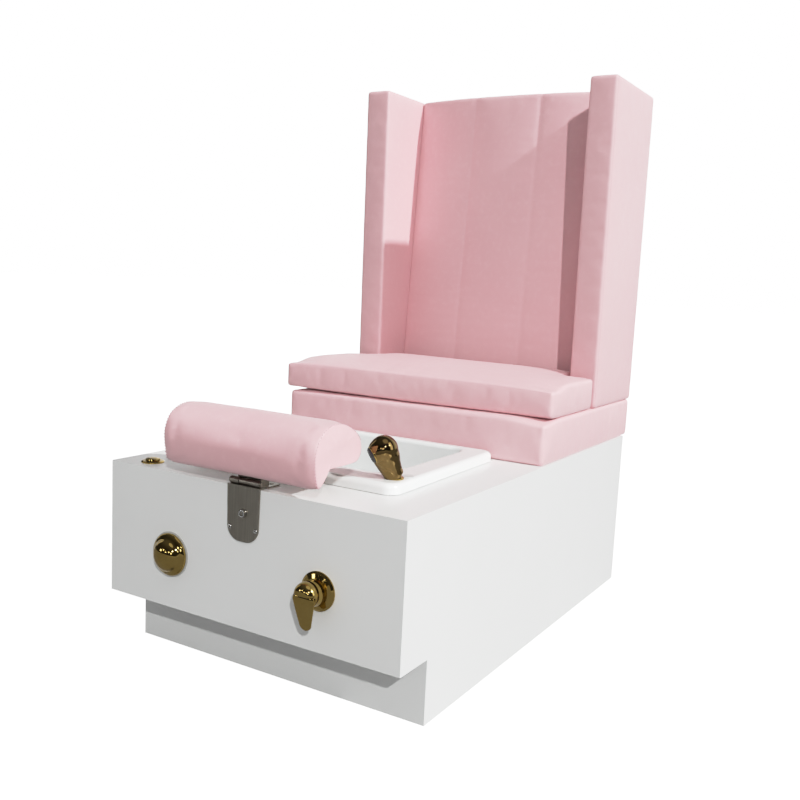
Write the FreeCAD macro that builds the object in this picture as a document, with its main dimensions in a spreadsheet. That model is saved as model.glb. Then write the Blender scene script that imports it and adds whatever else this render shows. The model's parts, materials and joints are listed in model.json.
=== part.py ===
import FreeCAD, Part

import math
import os
import re

import Sketcher

from FreeCAD import Placement, Rotation, Vector

# Pedicure spa chair: a lacquered cabinet with a foot basin, an upholstered seat with wings and a
# backrest, a footrest that flips forward, a lever mixer, a rotary waste and a hand shower.
# Millimetres. X is to the sitter's left, Y runs from the cabinet's front to the back, Z is up.
# The origin is on the floor, under the middle of the whole chair.

SIZES = {
    # Cabinet
    "front_face": -600, "cab_wide": 760, "cab_deep": 1235, "cab_high": 432, "board": 18,
    "kick_high": 136, "kick_back": 102, "batten": 30, "partition_at": 632, "partition_low": 190,
    # Foot basin, measured behind the front face
    "rim_front": 132, "rim_back": 618, "rim_half_front": 270, "rim_half_back": 257,
    "rim_high": 22.5, "seal_high": 1.5, "bowl_half": 195, "bowl_front": 215, "bowl_back": 585,
    "bowl_floor": 165, "bowl_wall": 5, "drain_at": 400, "drain_bore": 22,
    # Seat, wings and backrest
    "seat_front": 625, "seat_rear": 1271, "seat_top": 538, "fit_gap": 0.3, "ply": 18,
    "frame_half": 330, "frame_front": 660, "frame_back": 1222, "frame_top": 510,
    "wing_thick": 76.7, "wing_foot": 972, "wing_head": 950, "wing_top": 1400,
    "core_front": 1000, "core_top": 1370, "back_foot": 1090, "back_head": 1149,
    "back_crown": 40, "back_board_top": 1385,
    "cushion_low": 540, "cushion_high": 618, "tongue_back": 1046,
    # Footrest and its hinge
    "pad_half": 200, "hinge_back": 6, "hinge_high": 442, "pin_r": 4, "knuckle_r": 7.5,
    "bracket_half": 42, "bracket_low": 320, "plate": 3, "flange_back": 60, "riser_half": 30,
    "shelf_low": 489, "footboard": 12,
    # Mixer, waste, air button and hand shower
    "mixer_at": 190, "mixer_high": 259, "waste_at": -198, "waste_high": 254,
    "button_at": -302, "button_back": 45, "dock_at": 238, "dock_back": 186,
    "hub_low": 30.5, "running": 0.06,
    # Whirlpool jet on the basin's left wall
    "jet_back": 330, "jet_high": 290, "spray_ring": 15, "spray_bore": 3,
    # Plumbing
    "pipe_r": 20, "pipe_high": 80, "hose_r": 6, "tube_r": 3, "inlet_high": 110,
    "cold_at": 266, "hot_at": 105,
}

doc = FreeCAD.newDocument("PedicureSpaChair")
sheet = doc.addObject("Spreadsheet::Sheet", "Sizes")
for row, (alias, value) in enumerate(SIZES.items(), 1):
    sheet.set(f"A{row}", alias)
    sheet.set(f"B{row}", str(value))
    sheet.setAlias(f"B{row}", alias)
doc.recompute()

NODES = {}

# How a turned piece's own axis (+Z) is pointed
POINTING = {
    "+z": Rotation(Vector(0, 0, 1), 0),
    "-z": Rotation(Vector(1, 0, 0), 180),
    "-y": Rotation(Vector(1, 0, 0), 90),
    "+y": Rotation(Vector(1, 0, 0), -90),
    "+x": Rotation(Vector(0, 1, 0), 90),
    "-x": Rotation(Vector(0, 1, 0), -90),
}


def linked(text):
    """An expression with each size's name pointed at the spreadsheet."""
    return re.sub(r"[a-z_]+", lambda m: "Sizes." + m[0] if m[0] in SIZES else m[0], str(text))


def bind(thing, prop, text):
    thing.setExpression(prop, linked(text))


def place(thing, at, pointing="+z"):
    """Put a piece's own origin at three expressions, with its own +Z pointed along an axis."""
    thing.Placement = Placement(Vector(), POINTING[pointing])
    for letter, text in zip("xyz", at):
        bind(thing, f"Placement.Base.{letter}", text)


def node(name, thing):
    """Keep a finished sub-part under the name of its file."""
    thing.Label = name
    NODES[name] = thing
    return thing


# ---- Part primitives and booleans ----

def box(x, y, z, name="block"):
    """A box between pairs of expressions."""
    block = doc.addObject("Part::Box", name)
    for side, (low, high) in zip(("Length", "Width", "Height"), (x, y, z)):
        bind(block, side, f"({high}) - ({low})")
    place(block, (x[0], y[0], z[0]))
    return block


def rod(radius, length, at, pointing="+z", name="rod"):
    cylinder = doc.addObject("Part::Cylinder", name)
    bind(cylinder, "Radius", radius)
    bind(cylinder, "Height", length)
    place(cylinder, at, pointing)
    return cylinder


def fuse(*things, name="fused"):
    joined = doc.addObject("Part::MultiFuse", name)
    joined.Shapes = list(things)
    joined.Refine = True
    return joined


def cut(base, *tools, name="cut"):
    for tool in tools:
        rest = doc.addObject("Part::Cut", name)
        rest.Base = base
        rest.Tool = tool
        base = rest
    return base


def group(things, name="group"):
    """Separate solids that share one node."""
    together = doc.addObject("Part::Compound", name)
    together.Links = list(things)
    return together


def screw(shank_r, shank_long, head_r, head_high, at, pointing):
    """A fastener: the head stands on `at` and the shank runs along `pointing`."""
    back = {"+": "-", "-": "+"}[pointing[0]] + pointing[1]
    shank = rod(shank_r, shank_long, at, pointing, "shank")
    return fuse(shank, rod(head_r, head_high, at, back, "head"), name="screw")


# ---- PartDesign bodies ----

def body(name):
    made = doc.addObject("PartDesign::Body", name)
    made.Label = name
    return made


def sketch_on(owner, role, height="0", name="sketch"):
    """A sketch on one of a body's origin planes, raised along the plane's normal."""
    drawing = owner.newObject("Sketcher::SketchObject", name)
    plane = [f for f in owner.Origin.OriginFeatures if f.Role == role][0]
    drawing.AttachmentSupport = (plane, "")
    drawing.MapMode = "FlatFace"
    bind(drawing, "AttachmentOffset.Base.z", height)
    return drawing


def outline(drawing, points):
    """A closed outline; each corner is held by two dimensions bound to its expressions."""
    first = drawing.GeometryCount
    count = len(points)
    turn = 2 * math.pi / count
    start = [Vector(50 * math.cos(i * turn), 50 * math.sin(i * turn), 0) for i in range(count)]
    for index in range(count):
        drawing.addGeometry(Part.LineSegment(start[index], start[(index + 1) % count]))
    for index in range(count):
        following = first + (index + 1) % count
        drawing.addConstraint(Sketcher.Constraint("Coincident", first + index, 2, following, 1))
    for index, (across, up) in enumerate(points):
        hold(drawing, "DistanceX", (first + index, 1), start[index].x, across)
        hold(drawing, "DistanceY", (first + index, 1), start[index].y, up)


def hold(drawing, kind, where, value, text):
    """One dimension of a sketch, bound to an expression."""
    dimension = drawing.addConstraint(Sketcher.Constraint(kind, *where, value))
    drawing.setExpression(f"Constraints[{dimension}]", linked(text))


def circle(drawing, radius, at=("0", "0")):
    loop = drawing.addGeometry(Part.Circle(Vector(5, 5, 0), Vector(0, 0, 1), 10))
    hold(drawing, "Radius", (loop,), 10, radius)
    hold(drawing, "DistanceX", (loop, 3), 5, at[0])
    hold(drawing, "DistanceY", (loop, 3), 5, at[1])


def pad(owner, drawing, length, reverse=False):
    solid = owner.newObject("PartDesign::Pad", "pad")
    solid.Profile = drawing
    solid.Reversed = reverse
    bind(solid, "Length", length)
    doc.recompute()
    return solid


def pocket(owner, drawing, depth, reverse=False):
    before = owner.Shape.Volume
    hollow = owner.newObject("PartDesign::Pocket", "pocket")
    hollow.Profile = drawing
    hollow.Reversed = reverse
    bind(hollow, "Length", depth)
    doc.recompute()
    if owner.Shape.Volume > before - 1:
        raise RuntimeError(f"{owner.Label}: a pocket cuts nothing")
    return hollow


def fillet(owner, radius, wanted):
    """Round the edges of a body's tip whose ends and direction satisfy `wanted`."""
    tip = owner.Tip
    names = [f"Edge{i}" for i, edge in enumerate(tip.Shape.Edges, 1) if wanted(edge)]
    if not names:
        raise RuntimeError(f"{owner.Label}: no edge to round")
    rounded = owner.newObject("PartDesign::Fillet", "fillet")
    rounded.Base = (tip, names)
    bind(rounded, "Radius", radius)
    doc.recompute()
    if rounded.State and "Invalid" in rounded.State:
        raise RuntimeError(f"{owner.Label}: fillet of {radius} failed on {len(names)} edges")
    return rounded


def along(letter):
    """True for straight edges that run along one axis."""
    index = "xyz".index(letter)

    def test(edge):
        ends = [v.Point for v in edge.Vertexes]
        if len(ends) != 2:
            return False
        run = ends[1] - ends[0]
        return abs(run[index]) > 0.999 * run.Length

    return test


def level(height):
    """True for edges that lie wholly at one height."""
    def test(edge):
        bounds = edge.BoundBox
        return abs(bounds.ZMin - height) < 0.01 and abs(bounds.ZMax - height) < 0.01

    return test


def turned(name, profile, at, pointing="+z"):
    """A turned piece: (radius, height) corners revolved about the piece's own axis."""
    made = body(name)
    drawing = sketch_on(made, "XZ_Plane")
    outline(drawing, profile)
    spun = made.newObject("PartDesign::Revolution", "turning")
    spun.Profile = drawing
    spun.ReferenceAxis = (drawing, ["V_Axis"])
    spun.Angle = 360
    place(made, at, pointing)
    doc.recompute()
    return made


def ring(name, inner, outer, low, high, at, pointing="+z"):
    return turned(name, [(inner, low), (outer, low), (outer, high), (inner, high)], at, pointing)


def disc(name, radius, low, high, at, pointing="+z"):
    return turned(name, [("0", low), (radius, low), (radius, high), ("0", high)], at, pointing)


def behind(distance):
    """A place along Y, measured behind the cabinet's front face."""
    return f"front_face + {distance}"


HALF = "cab_wide / 2"
INSIDE = "cab_wide / 2 - board"
DECK_UNDER = "cab_high - board"
RIM_LOW = "cab_high + seal_high"
RIM_TOP = "cab_high + seal_high + rim_high"


# ======== Cabinet ========

def side_panel(name, low_x):
    """A side with its front foot cut away for the toe recess."""
    made = body(name)
    drawing = sketch_on(made, "YZ_Plane", low_x)
    outline(drawing, [
        (behind(0), "kick_high"),
        (behind("kick_back"), "kick_high"),
        (behind("kick_back"), "0"),
        (behind("cab_deep"), "0"),
        (behind("cab_deep"), DECK_UNDER),
        (behind(0), DECK_UNDER),
    ])
    pad(made, drawing, "board")
    return node(name, made)


side_panel("left_side_panel", f"-{HALF}")
side_panel("right_side_panel", INSIDE)

ACROSS = (f"-({INSIDE})", INSIDE)

node("kick_board", box(ACROSS, (behind("kick_back"), behind("kick_back + board")), ("0", "kick_high")))
node("soffit_panel", box(
    ACROSS,
    (behind("board"), behind("kick_back + board")),
    ("kick_high", "kick_high + board"),
))
node("partition", box(
    ACROSS,
    (behind("partition_at"), behind("partition_at + board")),
    ("partition_low", DECK_UNDER),
))


def battens():
    """Four upright corner battens that the panels are screwed to."""
    posts = []
    for side in (-1, 1):
        inner, outer = f"{side} * ({INSIDE} - batten)", f"{side} * ({INSIDE})"
        x = (inner, outer) if side > 0 else (outer, inner)
        posts.append(box(x, (behind("board"), behind("board + batten")), ("kick_high + board", DECK_UNDER)))
        rear = (behind("cab_deep - board - batten"), behind("cab_deep - board"))
        posts.append(box(x, rear, ("0", DECK_UNDER)))
    return group(posts)


# Screws that hold the removable rear panel to its battens
PANEL_SCREWS = group([
    screw("2", "board + 20", "4.5", "2.5", (f"{x} * ({INSIDE} - batten / 2)", behind("cab_deep"), z), "-y")
    for x in (-1, 1)
    for z in ("45", "370")
])
node("service_panel_screws", PANEL_SCREWS)
node("corner_battens", cut(battens(), PANEL_SCREWS))

# ======== Foot basin ========

RIM = [
    ("-rim_half_front", behind("rim_front")),
    ("rim_half_front", behind("rim_front")),
    ("rim_half_back", behind("rim_back")),
    ("-rim_half_back", behind("rim_back")),
]
BOWL = [
    ("-bowl_half", behind("bowl_front")),
    ("bowl_half", behind("bowl_front")),
    ("bowl_half", behind("bowl_back")),
    ("-bowl_half", behind("bowl_back")),
]
UNDER_BOWL = [
    ("-(bowl_half + bowl_wall)", behind("bowl_front - bowl_wall")),
    ("bowl_half + bowl_wall", behind("bowl_front - bowl_wall")),
    ("bowl_half + bowl_wall", behind("bowl_back + bowl_wall")),
    ("-(bowl_half + bowl_wall)", behind("bowl_back + bowl_wall")),
]
DOCK = ("dock_at", behind("dock_back"))
DRAIN = ("0", behind("drain_at"))


def basin():
    """A one-piece basin: a thick rolled rim that stands on the deck and a bowl that hangs below it."""
    made = body("basin_shell")
    rim = sketch_on(made, "XY_Plane", RIM_LOW)
    outline(rim, RIM)
    pad(made, rim, "rim_high")
    fillet(made, "30", along("z"))
    top = made.Tip.Shape.BoundBox.ZMax
    fillet(made, "12", level(top))
    under = sketch_on(made, "XY_Plane", "bowl_floor - bowl_wall")
    outline(under, UNDER_BOWL)
    pad(made, under, f"{RIM_LOW} - bowl_floor + bowl_wall + 1")
    outer = made.Tip.Shape.BoundBox.ZMin
    fillet(made, "45", lambda edge: along("z")(edge) and edge.BoundBox.ZMin < outer + 1)
    fillet(made, "25", level(outer))
    return made


def bowl_space():
    """The space inside the bowl, with round corners and a coved floor."""
    made = body("bowl_space")
    drawing = sketch_on(made, "XY_Plane", "bowl_floor")
    outline(drawing, BOWL)
    pad(made, drawing, f"{RIM_TOP} - bowl_floor + 1")
    fillet(made, "41", along("z"))
    fillet(made, "20", level(SIZES["bowl_floor"]))
    return made


def rolled_mouth(basin_block):
    """The basin with a soft edge where its rim rolls into the bowl."""
    doc.recompute()
    top = SIZES["cab_high"] + SIZES["seal_high"] + SIZES["rim_high"]
    mouth = SIZES["bowl_half"] + 1
    edges = [
        (index, 9, 9)
        for index, edge in enumerate(basin_block.Shape.Edges, 1)
        if level(top)(edge) and edge.BoundBox.XMax < mouth and edge.BoundBox.XMin > -mouth
        and edge.BoundBox.YMin > SIZES["front_face"] + SIZES["bowl_front"] - 1
        and edge.BoundBox.YMax < SIZES["front_face"] + SIZES["bowl_back"] + 1
    ]
    rolled = doc.addObject("Part::Fillet", "rolled_mouth")
    rolled.Base = basin_block
    rolled.Edges = edges
    doc.recompute()
    return rolled


DRAIN_HOLE = rod("drain_bore", "40", (*DRAIN, "bowl_floor - 20"))
RIM_HOLE = rod("13.6", "rim_high + 10", (*DOCK, f"{RIM_LOW} - 5"))
JET = ("-bowl_half", behind("jet_back"), "jet_high")
JET_HOLE = rod("20", "30", ("-bowl_half - 15", behind("jet_back"), "jet_high"), "+x")
node("basin_shell", cut(rolled_mouth(cut(basin(), bowl_space())), DRAIN_HOLE, RIM_HOLE, JET_HOLE))

SEAL_INSET = 3
seal_plate = box(
    (f"-rim_half_back + {SEAL_INSET}", f"rim_half_back - {SEAL_INSET}"),
    (behind(f"rim_front + {SEAL_INSET}"), behind(f"rim_back - {SEAL_INSET}")),
    ("cab_high", RIM_LOW),
)
DECK_OPENING = box(
    ("-(bowl_half + bowl_wall + 6)", "bowl_half + bowl_wall + 6"),
    (behind("bowl_front - bowl_wall - 6"), behind("bowl_back + bowl_wall + 6")),
    (f"{DECK_UNDER} - 5", "cab_high + 5"),
)
DOCK_HOLE = rod("14.5", "60", (*DOCK, f"{DECK_UNDER} - 5"))
node("basin_seal", cut(seal_plate, DECK_OPENING, DOCK_HOLE))

# Waste fittings under the bowl
node("drain_flange", turned("drain_flange", [
    ("16", "bowl_floor"), ("17.5", "bowl_floor + 3"), ("34", "bowl_floor + 3"),
    ("36", "bowl_floor + 0.2"), ("36", "bowl_floor"), ("21.6", "bowl_floor"), ("21.6", "96"), ("16", "96"),
], (*DRAIN, "0")))
node("drain_plug", turned("drain_plug", [
    ("0", "bowl_floor - 40"), ("4", "bowl_floor - 40"), ("4", "bowl_floor + 3.5"),
    ("25", "bowl_floor + 3.5"), ("24", "bowl_floor + 6.5"), ("12", "bowl_floor + 9"),
    ("0", "bowl_floor + 9.5"),
], (*DRAIN, "0")))


def waste_trap():
    """A bottle trap: a cup under the drain with a side outlet towards the back."""
    cup = turned("trap_cup", [
        ("0", "14"), ("30", "14"), ("34", "20"), ("34", "90"), ("24", "96"), ("16", "96"),
        ("16", "60"), ("0", "60"),
    ], (*DRAIN, "0"))
    outlet = rod("pipe_r - 1", "20", (DRAIN[0], f"{DRAIN[1]} + 30", "pipe_high - 22"), "+y")
    return fuse(cup, outlet)


node("waste_trap", waste_trap())
PIPE_LOW = "pipe_high - 22"
WASTE_PIPE = fuse(
    rod("pipe_r - 1", "cab_deep - drain_at - 50", (DRAIN[0], f"{DRAIN[1]} + 50", PIPE_LOW), "+y"),
    rod("pipe_r", "26", (DRAIN[0], behind("cab_deep"), PIPE_LOW), "+y"),
)
WASTE_BORE = rod("pipe_r - 2", "cab_deep - drain_at", (DRAIN[0], f"{DRAIN[1]} + 60", PIPE_LOW), "+y")
node("waste_pipe", cut(WASTE_PIPE, WASTE_BORE))

# Whirlpool jet: housing through the left wall, motor outside, impeller and cap inside
node("jet_housing", turned("jet_housing", [
    ("0", "-12"), ("19.6", "-12"), ("19.6", "0"), ("38", "0"), ("38", "4"), ("33", "4"), ("33", "3"),
    ("4 - running", "3"), ("4 - running", "-4"), ("0", "-4"),
], JET, "+x"))
node("jet_motor", turned("jet_motor", [
    ("0", "-13.4"), ("40", "-13.4"), ("40", "-20"), ("32", "-20"), ("32", "-78"), ("26", "-84"),
    ("0", "-84"),
], JET, "+x"))
JET_COVER = turned("jet_cover", [
    ("0", "18"), ("24", "17"), ("38", "9"), ("38", "4"), ("34", "4"), ("34", "8"), ("22.5", "14"),
    ("0", "15"),
], JET, "+x")
SPRAY_HOLES = fuse(*[
    rod("spray_bore", "10", (
        f"{JET[0]} + 12",
        f"{JET[1]} + spray_ring * cos({turn} deg)",
        f"{JET[2]} + spray_ring * sin({turn} deg)",
    ), "+x", "spray_hole")
    for turn in range(0, 360, 45)
])
node("jet_cap", cut(JET_COVER, SPRAY_HOLES))


def impeller():
    """An axle, a hub and six flat vanes, turning about X."""
    made = body("rotor")
    axle = sketch_on(made, "YZ_Plane", "-3.6")
    circle(axle, "4 - 2 * running")
    pad(made, axle, "8")
    hub = sketch_on(made, "YZ_Plane", "3.5")
    circle(hub, "8")
    pad(made, hub, "8.5")
    blade = sketch_on(made, "YZ_Plane", "4.5")
    outline(blade, [("6", "-1"), ("21", "-1"), ("21", "1"), ("6", "1")])
    vane = pad(made, blade, "6")
    vanes = made.newObject("PartDesign::PolarPattern", "vanes")
    vanes.Originals = [vane]
    vanes.Axis = ([f for f in made.Origin.OriginFeatures if f.Role == "X_Axis"][0], [""])
    vanes.Angle = 360
    vanes.Occurrences = 6
    made.Tip = vanes
    place(made, JET)
    return made


node("jet_impeller", impeller())

# ======== Front controls ========

WASTE = ("waste_at", behind(0), "waste_high")
MIXER = ("mixer_at", behind(0), "mixer_high")

node("waste_gasket", ring("waste_gasket", "8", "49", "0", "1.6", WASTE, "-y"))
node("waste_knob", cut(
    turned("knob_dome", [
        ("0", "-40"), ("6 - running", "-40"), ("6 - running", "2"), ("46", "2"), ("46", "6"), ("42", "16"),
        ("33", "25"), ("19", "31"), ("0", "33"),
    ], WASTE, "-y"),
    box(
        ("waste_at - 30", "waste_at + 30"), (behind(-40), behind(-22)),
        ("waste_high - 40", "waste_high - 8"),
    ),
))
node("waste_actuator", turned("waste_actuator", [
    ("6", "-18"), ("24", "-18"), ("24", "-30"), ("18", "-34"), ("18", "-58"), ("0", "-58"),
    ("0", "-41"), ("6", "-41"),
], WASTE, "-y"))

node("mixer_escutcheon", turned("mixer_escutcheon", [
    ("22", "0"), ("39.5", "0"), ("39.5", "2.5"), ("35", "6"), ("27", "8.5"), ("22", "9"),
], MIXER, "-y"))
node("mixer_sleeve", turned("mixer_sleeve", [
    ("15.1", "-17.5"), ("21.8", "-17.5"), ("21.8", "9"), ("24", "12"), ("25", "20"), ("22.5", "30"),
    ("15.1", "30"),
], MIXER, "-y"))
node("mixer_cartridge", turned("mixer_cartridge", [
    ("0", "-17.5"), ("15", "-17.5"), ("15", "20"), ("8", "20"), ("8", "27"), ("0", "27"),
], MIXER, "-y"))
LEVER_PIN = rod("2", "36", ("mixer_at - 18", behind(-44), "mixer_high + 4"), "+x")
node("lever_pin", LEVER_PIN)
node("mixer_hub", cut(
    turned("hub_dome", [
        ("0", "27.3"), ("8", "27.3"), ("8", "hub_low"), ("22", "hub_low"), ("23", "36"), ("22", "43"),
        ("17", "50"), ("9", "54"), ("0", "55"),
    ], MIXER, "-y"),
    box(
        ("mixer_at - 14.3", "mixer_at + 14.3"), (behind(-56), behind(-35)),
        ("mixer_high - 30", "mixer_high + 13"),
    ),
    LEVER_PIN,
))


def lever():
    """A flat paddle that hangs from the hub, broad at the top with a rounded tip."""
    made = body("paddle")
    drawing = sketch_on(made, "XZ_Plane", "-front_face + 38.4")
    outline(drawing, [
        ("mixer_at - 13.9", "mixer_high + 9"), ("mixer_at + 13.9", "mixer_high + 9"),
        ("mixer_at + 13.9", "mixer_high - 23"), ("mixer_at + 25", "mixer_high - 27"),
        ("mixer_at + 11", "mixer_high - 64"), ("mixer_at - 11", "mixer_high - 64"),
        ("mixer_at - 25", "mixer_high - 27"), ("mixer_at - 13.9", "mixer_high - 23"),
    ])
    pad(made, drawing, "10")
    tip = SIZES["mixer_high"] - 64
    fillet(made, "9.5", lambda edge: along("y")(edge) and abs(edge.BoundBox.ZMin - tip) < 0.1)
    return made


node("mixer_lever", cut(
    lever(),
    rod("2 + running", "60", ("mixer_at - 30", behind(-44), "mixer_high + 4"), "+x"),
))


def mixer_body():
    """The brass body behind the front panel, with two inlets and one outlet below."""
    core = rod("26", "60", ("mixer_at", behind("board"), "mixer_high"), "+y")
    inlets = rod("9", "100", ("mixer_at - 50", behind("board + 38"), "mixer_high"), "+x")
    outlet = rod("9", "38", ("mixer_at", behind("board + 38"), "mixer_high - 38"))
    return fuse(core, inlets, outlet)


node("mixer_body", mixer_body())

FRONT_PANEL = box(ACROSS, (behind(0), behind("board")), ("kick_high", DECK_UNDER))

# Air button on the deck
BUTTON = ("button_at", behind("button_back"), "cab_high")
node("air_bezel", turned("air_bezel", [
    ("10", "-28"), ("13", "-28"), ("13", "0"), ("25", "0"), ("25", "2"), ("22", "4"), ("16.2", "4.5"),
    ("16.2", "0.5"), ("10", "0.5"),
], BUTTON))
node("air_button", turned("air_button", [
    ("0", "-24"), ("9.94", "-24"), ("9.94", "5"), ("16", "5"), ("15.4", "8"), ("9", "9.6"), ("0", "10"),
], BUTTON))
node("air_bellows", turned("air_bellows", [
    ("0", "-44"), ("13", "-44"), ("13", "-36"), ("11", "-33"), ("13", "-30"), ("13", "-28"),
    ("9", "-28"), ("9", "-30"), ("0", "-30"),
], BUTTON))
node("air_switch_box", box(
    (f"-({INSIDE})", f"-({INSIDE}) + 42"), (behind(230), behind(320)), ("250", "320"),
))

# ======== Hand shower ========

node("shower_dock", turned("shower_dock", [
    ("11.06", "-44"), ("13.4", "-44"), ("13.4", "0"), ("18", "0"), ("18", "2.5"), ("15.5", "5"),
    ("11.06", "5"),
], (*DOCK, RIM_TOP)))


def shower_handle():
    """A handle that swells and leans from a straight stem to a round head."""
    made = body("handle")
    stem = sketch_on(made, "XY_Plane", f"{RIM_TOP} - 40")
    circle(stem, "11", DOCK)
    pad(made, stem, "46")
    sections = []
    leaning = [
        ("6", "11", "0", "0"), ("22", "12.5", "-4", "-4"), ("42", "16.5", "-10", "-10"),
        ("60", "22", "-17", "-17"), ("78", "24.5", "-23", "-22"), ("90", "16", "-25", "-24"),
    ]
    for up, radius, left, forward in leaning:
        section = sketch_on(made, "XY_Plane", f"{RIM_TOP} + {up}")
        circle(section, radius, (f"dock_at + {left}", behind(f"dock_back + {forward}")))
        sections.append(section)
    loft = made.newObject("PartDesign::AdditiveLoft", "swell")
    loft.Profile = sections[0]
    loft.Sections = sections[1:]
    doc.recompute()
    return made


NOZZLE = ("dock_at - 34", behind("dock_back - 30"), f"{RIM_TOP} + 58")


def nozzle(radius, length):
    """The spray face looks to the left and a little down from the head."""
    face = rod(radius, length, NOZZLE)
    face.Placement.Rotation = Rotation(Vector(0, 0, 1), Vector(-0.86, -0.36, -0.36))
    return face


node("spray_face", nozzle("17", "12"))
node("hand_shower", cut(shower_handle(), nozzle("17", "12")))
node("shower_hose_tail", rod("hose_r", "165", (*DOCK, f"{RIM_TOP} - 205")))
node("rim_cap", disc("rim_cap", "13", "0", "1.4", ("dock_at + 9", behind("dock_back + 36"), RIM_TOP)))

DECK = box((f"-{HALF}", HALF), (behind(0), behind("cab_deep")), (DECK_UNDER, "cab_high"))
BUTTON_HOLE = rod("13.2", "30", ("button_at", behind("button_back"), f"{DECK_UNDER} - 5"))

# ======== Footrest ========

HINGE = ("0", behind("hinge_back"), "hinge_high")
SHELF_TOP = "shelf_low + plate"


def hinge_rod(radius, low, high):
    return rod(radius, f"{high} - ({low})", (low, HINGE[1], HINGE[2]), "+x")


def bracket():
    """A steel plate that folds over the cabinet's front edge and carries two hinge knuckles."""
    leg = body("bracket_leg")
    drawing = sketch_on(leg, "XZ_Plane", "-front_face")
    outline(drawing, [
        ("-bracket_half", "cab_high"), ("bracket_half", "cab_high"),
        ("bracket_half - 2.5", "bracket_low"), ("-bracket_half + 2.5", "bracket_low"),
    ])
    pad(leg, drawing, "plate")
    low = SIZES["bracket_low"]
    fillet(leg, "32", lambda edge: along("y")(edge) and abs(edge.BoundBox.ZMin - low) < 0.1)
    flange = box(
        ("-bracket_half", "bracket_half"), (behind("-plate"), behind("flange_back")),
        ("cab_high", "cab_high + plate"),
    )
    whole = fuse(leg, flange, hinge_rod("knuckle_r", "-38", "-15.3"), hinge_rod("knuckle_r", "15.3", "38"))
    return cut(whole, hinge_rod("pin_r + running", "-50", "50"))


BRACKET_BOLT = screw("5", "board + 14", "9.5", "5", ("0", behind("-plate"), "379"), "+y")
BRACKET_NUT = ring("bracket_nut", "5.2", "10", "-10", "0", ("0", behind("board"), "379"), "-y")
BRACKET_SCREWS = group([BRACKET_BOLT, BRACKET_NUT] + [
    screw("2.2", "16", "4.6", "1.2", (f"{side} * 33", behind("-plate"), "347"), "+y") for side in (-1, 1)
] + [
    screw("2.2", "16", "4.6", "1.2", (f"{side} * 28", behind("flange_back - 9"), "cab_high + plate"), "-z")
    for side in (-1, 1)
])
node("bracket_fixings", BRACKET_SCREWS)
node("footrest_bracket", cut(bracket(), BRACKET_SCREWS))
node("hinge_pin", fuse(
    hinge_rod("pin_r", "-41", "41"), hinge_rod("6", "-41", "-38.2"), hinge_rod("6", "38.2", "41"),
))


def riser():
    """A steel riser that turns on the pin, stands on the flange and carries the footrest board."""
    column = box(
        ("-riser_half", "riser_half"), (behind("hinge_back + 8.5"), behind("hinge_back + 34")),
        ("cab_high + plate + fit_gap", "shelf_low"),
    )
    shelf = box(("-110", "110"), (behind("hinge_back + 4"), behind("104")), ("shelf_low", SHELF_TOP))
    web = box(("-14.5", "14.5"), (behind("hinge_back"), behind("hinge_back + 9")), ("438", "446"))
    knuckle = hinge_rod("knuckle_r - 0.8", "-14.5", "14.5")
    return cut(fuse(column, shelf, web, knuckle), hinge_rod("pin_r + running", "-50", "50"))


node("footrest_riser", riser())
BOARD = box(
    ("-pad_half + 16", "pad_half - 16"), (behind("10"), behind("110")),
    (SHELF_TOP, f"{SHELF_TOP} + footboard"),
)
node("footrest_board", BOARD)


def footrest_pad():
    """A half-round bolster with a skirt that hangs over the front edge."""
    made = body("bolster")
    drawing = sketch_on(made, "YZ_Plane", "-pad_half")
    outline(drawing, [
        (behind("-24"), "458"), (behind("-4"), "458"), (behind("1"), SHELF_TOP), (behind("113"), SHELF_TOP),
        (behind("131"), "506"), (behind("131"), "530"), (behind("106"), "558"), (behind("55"), "582"),
        (behind("4"), "573"), (behind("-20"), "549"), (behind("-34"), "490"),
    ])
    pad(made, drawing, "2 * pad_half")
    return made


node("footrest_pad", cut(footrest_pad(), BOARD))

# ======== Seat ========

FRAME_X = ("-frame_half", "frame_half")
FRAME_Y = (behind("frame_front"), behind("frame_back"))
frame_block = box(FRAME_X, FRAME_Y, ("cab_high", "frame_top"))
frame_void = box(
    ("-frame_half + ply", "frame_half - ply"), (behind("frame_front + ply"), behind("frame_back - ply")),
    ("cab_high - 5", "frame_top + 5"),
)


def core(side):
    """The plywood heart of a wing, bolted to the seat frame's side."""
    inner, outer = f"{side} * frame_half", f"{side} * (frame_half + ply)"
    x = (inner, outer) if side > 0 else (outer, inner)
    return box(x, (behind("core_front"), behind("frame_back")), ("cab_high + fit_gap", "core_top"))


WING_BOLTS = group([
    screw("4", "2 * ply + 10", "8", "5", (f"{side} * (frame_half + ply)", behind(y), "470"), inward)
    for side, inward in ((-1, "+x"), (1, "-x"))
    for y in ("core_front + 40", "core_front + 180")
])
node("wing_bolts", WING_BOLTS)
node("seat_frame", cut(frame_block, frame_void, WING_BOLTS))
LEFT_CORE, RIGHT_CORE = core(-1), core(1)
node("wing_cores", cut(group([LEFT_CORE, RIGHT_CORE]), WING_BOLTS))

BACK_BOARD = box(
    ("-(frame_half + ply)", "frame_half + ply"), (behind("frame_back"), behind("frame_back + ply")),
    ("seat_top + fit_gap", "back_board_top"),
)
node("back_board", BACK_BOARD)

seat_block = box(
    (f"-{HALF}", HALF), (behind("seat_front"), behind("seat_rear")), ("cab_high + fit_gap", "seat_top"),
)
seat_hollow = box(
    ("-(frame_half + ply + 6)", "frame_half + ply + 6"),
    (behind("frame_front - fit_gap"), behind("frame_back + fit_gap")),
    ("cab_high - 5", "frame_top"),
)
node("seat_base", cut(seat_block, seat_hollow, LEFT_CORE, RIGHT_CORE))


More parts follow.
